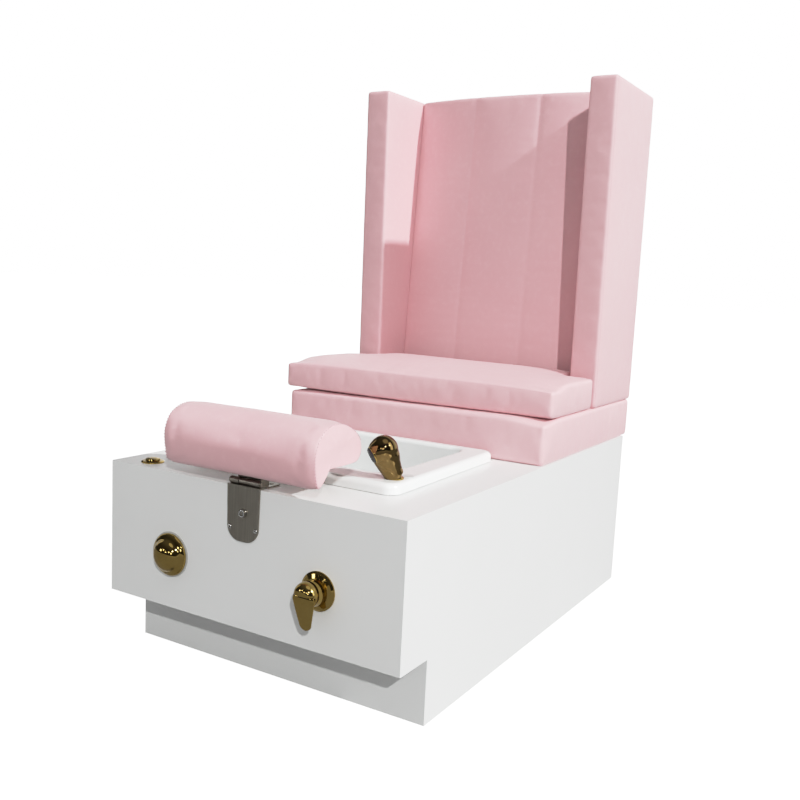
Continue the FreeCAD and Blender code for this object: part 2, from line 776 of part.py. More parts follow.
def wing(side):
    """An upright side wing whose front edge leans back towards the floor."""
    made = body("wing")
    low_x = f"{HALF} - wing_thick" if side > 0 else f"-{HALF}"
    drawing = sketch_on(made, "YZ_Plane", low_x)
    outline(drawing, [
        (behind("wing_foot"), "seat_top + fit_gap"), (behind("seat_rear"), "seat_top + fit_gap"),
        (behind("seat_rear"), "wing_top"), (behind("wing_head"), "wing_top"),
    ])
    pad(made, drawing, "wing_thick")
    front = SIZES["front_face"] + SIZES["wing_foot"]
    fillet(made, "10", lambda edge: edge.BoundBox.ZLength > 500 and edge.BoundBox.YMax < front + 1)
    return made


node("left_wing", cut(wing(-1), LEFT_CORE, BACK_BOARD))
node("right_wing", cut(wing(1), RIGHT_CORE, BACK_BOARD))

BACK_HALF = f"{HALF} - wing_thick - fit_gap"


def back_section(owner, height, sides):
    """A plan of the back cushion: flat behind, crowned in front."""
    drawing = sketch_on(owner, "XY_Plane", height)
    across = [step / 3 for step in range(-3, 4)]
    crown = [
        (f"{x:.4f} * ({BACK_HALF})", behind(f"{sides} - back_crown * {1 - x ** 2:.4f}")) for x in across
    ]
    rear = behind("frame_back - fit_gap")
    outline(drawing, crown + [(BACK_HALF, rear), (f"-({BACK_HALF})", rear)])
    return drawing


def back_cushion():
    made = body("back")
    foot = back_section(made, "cushion_low", "back_foot")
    head = back_section(made, "wing_top", "back_head")
    loft = made.newObject("PartDesign::AdditiveLoft", "recline")
    loft.Profile = foot
    loft.Sections = [head]
    loft.Ruled = True
    doc.recompute()
    return made


node("back_cushion", back_cushion())
node("back_cover", box(
    (f"-({BACK_HALF})", BACK_HALF), (behind("frame_back + ply + fit_gap"), behind("seat_rear")),
    ("seat_top + fit_gap", "wing_top"),
))


def seat_cushion():
    """A loose T-shaped cushion, lying a little askew: wide in front, its tongue between the wings."""
    made = body("cushion")
    drawing = sketch_on(made, "XY_Plane", "cushion_low")
    outline(drawing, [
        ("-394", behind("628")), ("380", behind("665")), ("376", behind("949")), ("294", behind("946")),
        ("292", behind("tongue_back")), ("-297", behind("tongue_back - 8")), ("-299", behind("934")),
        ("-392", behind("930")),
    ])
    pad(made, drawing, "cushion_high - cushion_low")
    fillet(made, "14", lambda edge: along("z")(edge) and abs(edge.BoundBox.XMin) > 350)
    return made


node("seat_cushion", seat_cushion())

# ======== Hoses, tube and cable inside the cabinet ========


def hose(name, radius, points):
    """A hose along straight runs joined by tangent arcs as large as the runs allow."""
    points = [Vector(*p) for p in points]
    edges = []
    radii = []
    here = points[0]
    for before, corner, after in zip(points, points[1:], points[2:]):
        arriving = (corner - before).normalize()
        leaving = (after - corner).normalize()
        turn = arriving.getAngle(leaving)
        reach = 0.45 * min(corner.distanceToPoint(before), corner.distanceToPoint(after))
        bend = reach / math.tan(turn / 2)
        start = corner - arriving * reach
        end = corner + leaving * reach
        inward = (leaving - arriving).normalize()
        middle = corner + inward * (bend / math.cos(turn / 2) - bend)
        edges.append(Part.LineSegment(here, start).toShape())
        edges.append(Part.Arc(start, middle, end).toShape())
        radii.append(round(bend))
        here = end
    edges.append(Part.LineSegment(here, points[-1]).toShape())
    path = Part.Wire(edges)
    section = Part.Wire([Part.makeCircle(radius, points[0], points[1] - points[0])])
    shape = path.makePipeShell([section], True, False)
    expected = math.pi * radius ** 2 * path.Length
    print(f"{name}: length {path.Length:.0f}, radii {radii}, volume ratio {shape.Volume / expected:.4f}")
    tube = doc.addObject("Part::Feature", name)
    tube.Shape = shape
    return tube


FRONT = SIZES["front_face"]
REAR = FRONT + SIZES["cab_deep"] - SIZES["board"]
SUPPLY_BACK = FRONT + SIZES["board"] + 38
MIXER_X, MIXER_Z = SIZES["mixer_at"], SIZES["mixer_high"]
HOSE_R, TUBE_R = SIZES["hose_r"], SIZES["tube_r"]
INLET_Z = SIZES["inlet_high"]
DOCK_X, DOCK_Y = SIZES["dock_at"], FRONT + SIZES["dock_back"]


def supply(name, start_x, lean, run_x):
    """A supply hose from the mixer's side, down behind the front, under the bowl and back."""
    return hose(name, HOSE_R, [
        (start_x, SUPPLY_BACK, MIXER_Z),
        (start_x + lean * 20, SUPPLY_BACK, MIXER_Z),
        (start_x + lean * 40, SUPPLY_BACK + 4, MIXER_Z - 9),
        (start_x + lean * 54, SUPPLY_BACK + 12, MIXER_Z - 26),
        (start_x + lean * 58, SUPPLY_BACK + 28, MIXER_Z - 48),
        (start_x + lean * 52, SUPPLY_BACK + 56, MIXER_Z - 76),
        (run_x, SUPPLY_BACK + 104, MIXER_Z - 108),
        (run_x - 2, SUPPLY_BACK + 160, INLET_Z + 14),
        (run_x + 6, FRONT + 330, INLET_Z - 2),
        (run_x - 4, FRONT + 520, INLET_Z + 4),
        (run_x + 6, FRONT + 710, INLET_Z - 4),
        (run_x - 3, FRONT + 900, INLET_Z + 3),
        (run_x, FRONT + 1060, INLET_Z),
        (run_x, REAR - 20, INLET_Z),
    ])


node("supply_hoses", group([
    supply("hot_hose", MIXER_X - 50, -1, SIZES["hot_at"]),
    supply("cold_hose", MIXER_X + 50, 1, SIZES["cold_at"]),
]))
node("shower_hose", hose("shower_hose", HOSE_R, [
    (MIXER_X, SUPPLY_BACK, MIXER_Z - 38),
    (MIXER_X, SUPPLY_BACK, MIXER_Z - 56),
    (MIXER_X + 2, SUPPLY_BACK + 8, MIXER_Z - 78),
    (MIXER_X + 9, SUPPLY_BACK + 25, MIXER_Z - 92),
    (MIXER_X + 21, SUPPLY_BACK + 50, MIXER_Z - 96),
    (MIXER_X + 38, SUPPLY_BACK + 84, MIXER_Z - 94),
    (DOCK_X - 1, DOCK_Y - 14, MIXER_Z - 80),
    (DOCK_X, DOCK_Y, MIXER_Z - 53),
    (DOCK_X, DOCK_Y, MIXER_Z - 8),
]))

WASTE_X, WASTE_Z = SIZES["waste_at"], SIZES["waste_high"]
DRAIN_Y = FRONT + SIZES["drain_at"]
node("waste_cable", hose("waste_cable", TUBE_R, [
    (WASTE_X, FRONT + 58, WASTE_Z),
    (WASTE_X, FRONT + 88, WASTE_Z),
    (WASTE_X + 8, FRONT + 128, WASTE_Z - 30),
    (WASTE_X + 20, FRONT + 160, WASTE_Z - 72),
    (WASTE_X + 42, FRONT + 198, WASTE_Z - 108),
    (WASTE_X + 78, FRONT + 248, WASTE_Z - 128),
    (WASTE_X + 118, FRONT + 306, WASTE_Z - 134),
    (WASTE_X + 150, FRONT + 360, WASTE_Z - 132),
    (-24, DRAIN_Y - 3, WASTE_Z - 134),
]))

BUTTON_X, BUTTON_Y = SIZES["button_at"], FRONT + SIZES["button_back"]
DECK_Z = SIZES["cab_high"]
SWITCH_X = -(SIZES["cab_wide"] / 2 - SIZES["board"]) + 21
node("air_tube", hose("air_tube", TUBE_R, [
    (BUTTON_X, BUTTON_Y, DECK_Z - 44),
    (BUTTON_X, BUTTON_Y, DECK_Z - 68),
    (BUTTON_X - 3, BUTTON_Y + 14, DECK_Z - 92),
    (BUTTON_X - 12, BUTTON_Y + 45, DECK_Z - 114),
    (BUTTON_X - 26, BUTTON_Y + 95, DECK_Z - 129),
    (BUTTON_X - 36, BUTTON_Y + 135, DECK_Z - 138),
    (SWITCH_X, BUTTON_Y + 162, DECK_Z - 142),
    (SWITCH_X, FRONT + 230, DECK_Z - 142),
]))


def inlet(x):
    """A bulkhead fitting with a male thread outside for a supply pipe."""
    return turned("inlet", [
        ("5", "-board - 20"), ("9.5", "-board - 20"), ("9.5", "0"), ("16", "0"), ("16", "3"), ("10.4", "3"),
        ("10.4", "24"), ("5", "24"),
    ], (x, behind("cab_deep"), "inlet_high"), "+y")


node("water_inlets", group([inlet("hot_at"), inlet("cold_at")]))

# ======== Panels that the fittings pass through ========

SPINDLE_HOLE = rod("7", "board + 10", ("waste_at", behind(-5), "waste_high"), "+y")
SLEEVE_HOLE = rod("22", "board + 10", ("mixer_at", behind(-5), "mixer_high"), "+y")
PIPE_HOLE = rod("pipe_r - 0.7", "board + 10", (DRAIN[0], behind("cab_deep - board - 5"), PIPE_LOW), "+y")
node("front_panel", cut(FRONT_PANEL, SPINDLE_HOLE, SLEEVE_HOLE, BRACKET_SCREWS))
node("deck_top", cut(DECK, DECK_OPENING, DOCK_HOLE, BUTTON_HOLE, BRACKET_SCREWS))
REAR_PANEL = box(ACROSS, (behind("cab_deep - board"), behind("cab_deep")), ("0", DECK_UNDER))
INLET_HOLES = [
    rod("9.6", "board + 10", (x, behind("cab_deep - board - 5"), "inlet_high"), "+y")
    for x in ("hot_at", "cold_at")
]
node("service_panel", cut(REAR_PANEL, *INLET_HOLES, PIPE_HOLE, PANEL_SCREWS))

# ======== Check and write ========

doc.recompute()
os.makedirs("parts", exist_ok=True)
for thing in doc.Objects:
    if "Invalid" in thing.State or "Error" in thing.State:
        raise RuntimeError(f"{thing.Label} ({thing.Name}) is {thing.State}")
for name, thing in NODES.items():
    if thing.Shape.isNull() or not thing.Shape.isValid() or not thing.Shape.Solids:
        raise RuntimeError(f"{name} is not a valid solid")
for name, thing in NODES.items():
    thing.Shape.exportStep(f"parts/{name}.step")
    bounds = thing.Shape.BoundBox
    print(f"{name}: {len(thing.Shape.Solids)} solids, x {bounds.XMin:.1f} {bounds.XMax:.1f}, "
          f"y {bounds.YMin:.1f} {bounds.YMax:.1f}, z {bounds.ZMin:.1f} {bounds.ZMax:.1f}")
print(len(NODES), "nodes")
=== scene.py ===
import json
import math
import random

import bmesh
import bpy
import numpy as np

from mathutils import Euler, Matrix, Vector
from mathutils.bvhtree import BVHTree


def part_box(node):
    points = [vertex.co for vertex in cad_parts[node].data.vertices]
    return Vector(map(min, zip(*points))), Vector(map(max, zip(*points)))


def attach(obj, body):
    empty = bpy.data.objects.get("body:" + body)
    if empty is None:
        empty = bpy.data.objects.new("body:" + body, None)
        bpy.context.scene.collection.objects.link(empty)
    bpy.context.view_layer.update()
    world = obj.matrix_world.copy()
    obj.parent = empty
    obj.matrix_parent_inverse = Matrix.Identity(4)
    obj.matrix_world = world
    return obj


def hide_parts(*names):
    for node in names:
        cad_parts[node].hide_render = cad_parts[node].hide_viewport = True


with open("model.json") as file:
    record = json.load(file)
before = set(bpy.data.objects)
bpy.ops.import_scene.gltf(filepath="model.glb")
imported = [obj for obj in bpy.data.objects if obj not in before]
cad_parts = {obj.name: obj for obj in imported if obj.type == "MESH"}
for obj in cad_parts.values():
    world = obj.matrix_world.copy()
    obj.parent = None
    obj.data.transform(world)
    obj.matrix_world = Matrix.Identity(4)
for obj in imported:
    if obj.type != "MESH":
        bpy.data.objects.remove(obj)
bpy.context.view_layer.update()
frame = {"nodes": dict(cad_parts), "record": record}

# Looks of a pedicure spa chair: upholstered covers swollen by cloth simulation over the packed
# soft solids, refined gold fittings, and a finish for every board, pipe and hose.
# Metres, in the frame's own axes: X to the sitter's left, Y to the back, Z up.

MM = 0.001
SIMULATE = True
scene = bpy.context.scene


def span(node):
    """A node's lowest and highest corners as two vectors."""
    low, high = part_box(node)
    return Vector(low), Vector(high)


# ======== Camera ========

def set_camera():
    """The photograph's viewpoint: from the front, to the chair's left, a little above the seat."""
    lens = bpy.data.cameras.new("view")
    lens.lens = 41.19
    lens.sensor_width = 36
    camera = bpy.data.objects.new("view", lens)
    camera.location = (1.1753, -1.9773, 0.8653)
    camera.rotation_euler = Euler([math.radians(a) for a in (82.252, -2.776, 31.262)])
    scene.collection.objects.link(camera)
    scene.camera = camera


set_camera()

# ======== Materials ========


class Finish:
    """A node material with short calls for the textures that its finish is made of."""

    def __init__(self, name, colour, rough, **shader):
        self.material = bpy.data.materials.new(name)
        self.material.use_nodes = True
        self.tree = self.material.node_tree
        self.shader = self.tree.nodes["Principled BSDF"]
        self.colour = colour
        self.rough = rough
        self.shader.inputs["Base Color"].default_value = (*colour, 1)
        self.shader.inputs["Roughness"].default_value = rough
        self.set(self.shader, **shader)
        self.place = self.add("ShaderNodeTexCoord").outputs["Object"]

    def add(self, kind, **settings):
        node = self.tree.nodes.new(kind)
        for key, value in settings.items():
            setattr(node, key, value)
        return node

    def set(self, node, **sockets):
        """Number sockets take their values, with an underscore for each space in a name."""
        for socket, value in sockets.items():
            node.inputs[socket.replace("_", " ")].default_value = value

    def join(self, source, node, socket):
        self.tree.links.new(source, node.inputs[socket])
        return node

    def stretched(self, stretch):
        mapping = self.join(self.place, self.add("ShaderNodeMapping"), "Vector")
        mapping.inputs["Scale"].default_value = stretch
        return mapping.outputs["Vector"]

    def noise(self, scale, detail=3, stretch=(1, 1, 1)):
        """Cloudy noise with `scale` features per metre."""
        texture = self.add("ShaderNodeTexNoise")
        self.set(texture, Scale=scale, Detail=detail)
        return self.join(self.stretched(stretch), texture, "Vector").outputs["Fac"]

    def pebbles(self, scale):
        texture = self.add("ShaderNodeTexVoronoi")
        self.set(texture, Scale=scale)
        return self.join(self.place, texture, "Vector").outputs["Distance"]

    def waves(self, scale, direction, distortion):
        texture = self.add("ShaderNodeTexWave", wave_type="BANDS", bands_direction=direction)
        self.set(texture, Scale=scale, Distortion=distortion)
        return self.join(self.place, texture, "Vector").outputs["Fac"]

    def remap(self, value, low, high, start=0.3, end=0.7):
        node = self.join(value, self.add("ShaderNodeMapRange"), "Value")
        self.set(node, From_Min=start, From_Max=end, To_Min=low, To_Max=high)
        return node.outputs["Result"]

    def tint(self, value, other, start=0.3, end=0.7):
        """The base colour drifts towards another one where the texture is high."""
        mix = self.add("ShaderNodeMix", data_type="RGBA")
        self.join(self.remap(value, 0, 1, start, end), mix, "Factor")
        before = self.shader.inputs["Base Color"]
        if before.links:
            self.tree.links.new(before.links[0].from_socket, mix.inputs[6])
        else:
            mix.inputs[6].default_value = (*self.colour, 1)
        mix.inputs[7].default_value = (*other, 1)
        self.tree.links.new(mix.outputs[2], before)

    def scuff(self, value, spread):
        """Roughness that wanders by `spread` either way."""
        self.join(self.remap(value, self.rough - spread, self.rough + spread), self.shader, "Roughness")

    def bump(self, value, depth, strength=1.0):
        """Relief of `depth` metres, on top of any relief set before."""
        node = self.join(value, self.add("ShaderNodeBump"), "Height")
        self.set(node, Distance=depth, Strength=strength)
        before = self.shader.inputs["Normal"]
        if before.links:
            self.tree.links.new(before.links[0].from_socket, node.inputs["Normal"])
        self.tree.links.new(node.outputs["Normal"], before)


def pink_vinyl():
    finish = Finish("pink_vinyl", (0.79, 0.48, 0.505), 0.46, Specular_IOR_Level=0.55,
                    Sheen_Weight=0.28, Sheen_Roughness=0.4)
    finish.tint(finish.noise(3.2, 4), (0.765, 0.45, 0.48))
    finish.tint(finish.noise(70, 5), (0.81, 0.505, 0.53), 0.5, 0.9)
    finish.scuff(finish.noise(24, 4), 0.06)
    finish.bump(finish.noise(9, 3), 0.004, 0.35)
    finish.bump(finish.pebbles(620), 0.00022, 0.55)
    finish.bump(finish.noise(1500, 2), 0.0001, 0.5)
    return finish.material


def white_lacquer():
    finish = Finish("white_lacquer", (0.82, 0.826, 0.818), 0.34, Coat_Weight=0.2, Coat_Roughness=0.12,
                    Specular_IOR_Level=0.28)
    finish.tint(finish.noise(4, 3), (0.80, 0.807, 0.798))
    finish.scuff(finish.noise(6, 2), 0.008)
    finish.bump(finish.noise(5, 1), 0.0008, 0.06)
    return finish.material


def white_acrylic():
    finish = Finish("white_acrylic", (0.85, 0.87, 0.86), 0.22, Coat_Weight=0.35, Coat_Roughness=0.06,
                    Specular_IOR_Level=0.35)
    finish.tint(finish.noise(5, 3), (0.83, 0.85, 0.84))
    finish.scuff(finish.noise(45, 5), 0.035)
    finish.bump(finish.noise(28, 2), 0.0004, 0.1)
    return finish.material


def gold(name, colour, other):
    """Polished plating, slightly uneven and faintly scuffed."""
    finish = Finish(name, colour, 0.07, Metallic=1.0)
    finish.tint(finish.noise(38, 4), other)
    finish.scuff(finish.noise(90, 3), 0.02)
    finish.bump(finish.noise(45, 2), 0.0008, 0.16)
    return finish.material


def brushed_steel():
    finish = Finish("brushed_steel", (0.34, 0.315, 0.27), 0.34, Metallic=1.0)
    lines = finish.noise(260, 4, (1, 1, 0.035))
    finish.tint(lines, (0.27, 0.25, 0.215))
    finish.scuff(finish.noise(50, 4), 0.07)
    finish.bump(lines, 0.00006, 0.6)
    return finish.material


def bright_steel():
    finish = Finish("bright_steel", (0.66, 0.66, 0.65), 0.2, Metallic=1.0)
    finish.tint(finish.noise(90, 4), (0.55, 0.55, 0.54))
    finish.scuff(finish.noise(160, 4), 0.06)
    finish.bump(finish.noise(700, 3), 0.00004, 0.4)
    return finish.material


def plywood():
    finish = Finish("plywood", (0.56, 0.40, 0.235), 0.62)
    fibres = finish.noise(60, 6, (0.08, 1, 1))
    finish.tint(fibres, (0.42, 0.28, 0.15))
    finish.tint(finish.waves(90, "Z", 1.2), (0.47, 0.33, 0.19), 0.55, 0.95)
    finish.bump(fibres, 0.0003, 0.5)
    return finish.material


def moulded(name, colour, other, rough):
    """Moulded plastic with a fine spark-eroded texture."""
    finish = Finish(name, colour, rough)
    finish.tint(finish.noise(18, 3), other)
    finish.scuff(finish.noise(60, 4), 0.05)
    finish.bump(finish.pebbles(1400), 0.00006, 0.4)
    return finish.material


def rubber(name, colour, other):
    finish = Finish(name, colour, 0.66)
    finish.tint(finish.noise(26, 4), other)
    finish.scuff(finish.noise(80, 4), 0.08)
    finish.bump(finish.noise(800, 3), 0.00012, 0.5)
    return finish.material


def brass():
    finish = Finish("brass", (0.63, 0.47, 0.20), 0.3, Metallic=1.0)
    finish.tint(finish.noise(50, 4), (0.46, 0.32, 0.12))
    finish.scuff(finish.noise(70, 4), 0.08)
    finish.bump(finish.noise(500, 3), 0.00006, 0.5)
    return finish.material


def braided_hose():
    finish = Finish("braided_hose", (0.42, 0.43, 0.44), 0.38, Metallic=0.7)
    braid = finish.pebbles(420)
    finish.tint(braid, (0.20, 0.21, 0.22), 0.2, 0.7)
    finish.bump(braid, 0.0006, 0.7)
    return finish.material


def thread():
    finish = Finish("thread", (0.70, 0.40, 0.44), 0.7, Sheen_Weight=0.3)
    finish.tint(finish.noise(500, 3), (0.60, 0.32, 0.36))
    finish.bump(finish.waves(900, "Z", 2.0), 0.0002, 0.6)
    return finish.material


MATERIALS = {
    "pink_vinyl": pink_vinyl(),
    "white_lacquer": white_lacquer(),
    "white_acrylic": white_acrylic(),
    "gold": gold("gold", (0.41, 0.29, 0.095), (0.365, 0.25, 0.075)),
    "steel": brushed_steel(),
    "plywood": plywood(),
    "grey_rubber": rubber("grey_rubber", (0.55, 0.55, 0.52), (0.48, 0.48, 0.46)),
    "black_plastic": moulded("black_plastic", (0.022, 0.022, 0.024), (0.035, 0.035, 0.037), 0.42),
    "grey_plastic": moulded("grey_plastic", (0.60, 0.61, 0.595), (0.54, 0.55, 0.54), 0.35),
    "brass": brass(),
    "hose": braided_hose(),
}
# A darker copy of the gold for the hand shower: painted shade that stands in for the dark room its curved
# plating mirrors.
SHADED_GOLD = gold("shaded_gold", (0.20, 0.135, 0.055), (0.17, 0.11, 0.042))
THREAD = thread()
BRIGHT_STEEL = bright_steel()


def dress_nodes():
    """Every CAD node gets the finish of its own material slot."""
    slots = {part["node"]: part["material_slot"] for part in frame["record"]["subparts"]}
    for name, thing in frame["nodes"].items():
        if thing.type != "MESH":
            continue
        thing.data.materials.clear()
        thing.data.materials.append(MATERIALS[slots[name]])


dress_nodes()

# ======== Making pieces ========


def mesh_object(name, points, faces, material):
    data = bpy.data.meshes.new(name)
    data.from_pydata([tuple(p) for p in points], [], faces)
    data.materials.append(material)
    data.shade_smooth()
    data.update()
    made = bpy.data.objects.new(name, data)
    scene.collection.objects.link(made)
    return made


def fix_normals(thing):
    """Faces look outwards."""
    work = bmesh.new()
    work.from_mesh(thing.data)
    bmesh.ops.recalc_face_normals(work, faces=work.faces)
    work.to_mesh(thing.data)
    work.free()


def keep(thing, body, slot, *nodes):
    """The piece rides on a body and stands for its CAD nodes; the slot is not used."""
    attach(thing, body)
    if nodes:
        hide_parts(*nodes)
    return thing


def final_mesh(thing):
    """The piece's mesh with its modifiers, as (points, faces)."""
    bpy.context.view_layer.update()
    graph = bpy.context.evaluated_depsgraph_get()
    solid = thing.evaluated_get(graph)
    data = solid.to_mesh()
    points = [v.co.copy() for v in data.vertices]
    faces = [tuple(p.vertices) for p in data.polygons]
    solid.to_mesh_clear()
    return points, faces


def apply_modifiers(thing):
    """Bake the modifiers into the piece's own mesh."""
    bpy.context.view_layer.update()
    graph = bpy.context.evaluated_depsgraph_get()
    data = bpy.data.meshes.new_from_object(thing.evaluated_get(graph))
    thing.modifiers.clear()
    old = thing.data
    thing.data = data
    bpy.data.meshes.remove(old)


def circle(centre, side, other, radius, count):
    """Evenly spaced places round a centre, in the plane of two directions."""
    angles = [2 * math.pi * i / count for i in range(count)]
    return [centre + (side * math.cos(angle) + other * math.sin(angle)) * radius for angle in angles]


def curve_between(p0, p1, p2, p3, t):
    """The place a share `t` of the way from p1 to p2, on a smooth curve through all four."""
    return 0.5 * (2 * p1 + (p2 - p0) * t + (2 * p0 - 5 * p1 + 4 * p2 - p3) * t ** 2
                  + (3 * p1 - p0 - 3 * p2 + p3) * t ** 3)


def same(a, b):
    """Whether two lengths are the same lattice line."""
    return abs(a - b) < 1e-6


def ticks(low, high, pitch, extra=()):
    """Lattice lines about a pitch apart, with a line exactly at each extra place."""
    stops = [low, *sorted(extra), high]
    lines = [low]
    for start, end in zip(stops, stops[1:]):
        count = max(1, round((end - start) / pitch))
        lines += [start + (end - start) * (i + 1) / count for i in range(count)]
    return lines


# ======== Upholstered covers ========

SIM_FRAMES = 20
CLOTH = {
    "quality": 6, "mass": 0.25, "tension_stiffness": 22, "compression_stiffness": 22, "shear_stiffness": 12,
    "bending_stiffness": 0.6, "use_pressure": True, "vertex_group_mass": "seams",
}
BENT = 0.7  # the angle in radians between two faces that meet at one of the block's edges
SEWN_CREASE = 0.5
SEAM_DEPTH = 1.6 * MM
STITCH_PITCH = 6.5 * MM
STITCH_SUNK = 0.1 * MM


def soft_step(value, edge, width):
    """From 0 below an edge to 1 above it, smoothly."""
    share = min(1, max(0, (value - edge) / width + 0.5))
    return share * share * (3 - 2 * share)


class Cover:
    """A closed skin of square cells round a block of foam, with the seams as fixed lines."""

    def __init__(self, name, lines, kept=None, shape=None, seam=None):
        self.name = name
        self.lines = lines
        self.index = {}
        self.points = []
        self.faces = []
        self.shape = shape or (lambda p: p)
        counts = [len(line) - 1 for line in lines]
        kept = kept or (lambda cell: True)
        inside = {
            (i, j, k)
            for i in range(counts[0]) for j in range(counts[1]) for k in range(counts[2])
            if kept(tuple(0.5 * (lines[a][c] + lines[a][c + 1]) for a, c in enumerate((i, j, k))))
        }
        for cell in sorted(inside):
            for axis in range(3):
                for way in (0, 1):
                    beside = list(cell)
                    beside[axis] += 2 * way - 1
                    if tuple(beside) not in inside:
                        self.add_face(cell, axis, way)
        self.object = mesh_object(name, self.points, self.faces, MATERIALS["pink_vinyl"])
        self.seams(seam)

    def add_face(self, cell, axis, way):
        """One outside face of a cell, wound to look outwards."""
        u, v = [(1, 2), (2, 0), (0, 1)][axis]
        corners = []
        for du, dv in ((0, 0), (1, 0), (1, 1), (0, 1)):
            at = list(cell)
            at[axis] += way
            at[u] += du
            at[v] += dv
            corners.append(self.vertex(tuple(at)))
        self.faces.append(corners if way else corners[::-1])

    def vertex(self, at):
        if at not in self.index:
            self.index[at] = len(self.points)
            raw = Vector([self.lines[axis][at[axis]] for axis in range(3)])
            self.points.append(Vector(self.shape(raw)))
        return self.index[at]

    def seams(self, extra):
        """The block's own edges and any extra seam lines are held; the extra ones are creased and sunk."""
        work = bmesh.new()
        work.from_mesh(self.object.data)
        crease = work.edges.layers.float.new("crease_edge")
        places = {index: at for at, index in self.index.items()}
        held = set()
        self.sunk = set()
        for edge in work.edges:
            bent = edge.calc_face_angle(0) > BENT
            ends = [places[v.index] for v in edge.verts]
            sewn = extra and extra([self.raw(at) for at in ends])
            if bent or sewn:
                held.update(v.index for v in edge.verts)
            if sewn and not bent:
                edge[crease] = SEWN_CREASE
                self.sunk.update(v.index for v in edge.verts)
        work.to_mesh(self.object.data)
        work.free()
        self.held = sorted(held)
        group = self.object.vertex_groups.new(name="seams")
        group.add(self.held, 1.0, "REPLACE")

    def raw(self, at):
        return tuple(self.lines[axis][at[axis]] for axis in range(3))

    def line(self, wanted):
        """The seam's points whose lattice place satisfies `wanted`, in order along the line."""
        found = [(self.raw(at), self.object.data.vertices[i].co.copy()) for at, i in self.index.items()
                 if wanted(self.raw(at))]
        return [point for _, point in sorted(found, key=lambda pair: pair[0])]


def inflate(covers):
    """Swell every cover at once: cloth under pressure, held along its seams, for twenty frames."""
    start = {}
    for cover, pressure, _, loose in covers:
        thing = cover.object
        start[cover.name] = np.array([v.co[:] for v in thing.data.vertices])
        cloth = thing.modifiers.new("cloth", "CLOTH")
        settings = cloth.settings
        for setting, value in CLOTH.items():
            setattr(settings, setting, value)
        settings.uniform_pressure_force = pressure
        settings.effector_weights.gravity = 0
        settings.shrink_min = -loose
        cloth.point_cache.frame_start = 1
        cloth.point_cache.frame_end = SIM_FRAMES
    for step in range(1, SIM_FRAMES + 1):
        scene.frame_set(step)
    graph = bpy.context.evaluated_depsgraph_get()
    for cover, _, cap, _ in covers:
        thing = cover.object
        swollen = thing.evaluated_get(graph).to_mesh()
        ended = np.array([v.co[:] for v in swollen.vertices])
        thing.evaluated_get(graph).to_mesh_clear()
        moved = ended - start[cover.name]
        length = np.linalg.norm(moved, axis=1, keepdims=True) + 1e-9
        thing.modifiers.clear()
        limited = start[cover.name] + moved * cap * np.tanh(length / cap) / length
        thing.data.vertices.foreach_set("co", limited.ravel())
        thing.data.update()
    scene.frame_set(1)


def puckers(cover, height, reach, wave, seed):
    """Small folds that run square to the seams and die away from them."""
    dice = random.Random(seed)
    data = cover.object.data
    seam_points = [data.vertices[i].co.copy() for i in cover.held]
    aside, along = Vector((1e-5, 0, 0)), Vector((0, 1e-5, 0))
    tree = BVHTree.FromPolygons(
        [p for point in seam_points for p in (point, point + aside, point + along)],
        [(3 * i, 3 * i + 1, 3 * i + 2) for i in range(len(seam_points))],
    )
    full_turn = 6.28
    ripples = 6
    peak = 0.35 * reach
    phase = [dice.uniform(0, full_turn) for _ in range(ripples)]
    tilt = [Vector([dice.uniform(-1, 1) for _ in range(3)]).normalized() for _ in range(ripples)]
    moves = []
    for vertex in data.vertices:
        near, _, _, distance = tree.find_nearest(vertex.co)
        ripple = sum(math.sin(full_turn * near.dot(t) / (wave * (1 + 0.35 * n)) + f)
                     for n, (t, f) in enumerate(zip(tilt, phase))) / 3
        fade = (distance / peak) * math.exp(-distance / peak) * 2.7
        moves.append(vertex.normal * (height * ripple * fade))
    for index in cover.sunk:
        moves[index] = data.vertices[index].normal * -SEAM_DEPTH
    for vertex, move in zip(data.vertices, moves):
        vertex.co += move
    data.update()


def smooth_out(cover, times):
    """Even out everything but the seams."""
    modifier = cover.object.modifiers.new("smooth", "SMOOTH")
    modifier.iterations = times
    modifier.factor = 0.4
    modifier.vertex_group = "seams"
    modifier.invert_vertex_group = True


def subdivide(cover):
    modifier = cover.object.modifiers.new("subdivision", "SUBSURF")
    modifier.levels = 1
    modifier.render_levels = 1


def stitches(name, host, path, stitch=4.2 * MM, radius=0.45 * MM):
    """A row of separate stitches laid on a piece's surface along a path."""
    points, faces = final_mesh(host)
    tree = BVHTree.FromPolygons(points, faces)
    total = sum((b - a).length for a, b in zip(path, path[1:]))
    made_points = []
    made_faces = []
    for step in range(int(total / STITCH_PITCH)):
        ends = []
        for distance in (step * STITCH_PITCH, step * STITCH_PITCH + stitch):
            spot = along_path(path, distance)
            near, normal, _, _ = tree.find_nearest(spot)
            ends.append((near + normal * (radius - STITCH_SUNK), normal))
        capsule(ends, radius, made_points, made_faces)
    return mesh_object(name, made_points, made_faces, THREAD)


def along_path(path, distance):
    """The place at a distance along a path, or its end."""
    for a, b in zip(path, path[1:]):
        length = (b - a).length
        if distance <= length and length > 0:
            return a.lerp(b, distance / length)
        distance -= length
    return path[-1].copy()


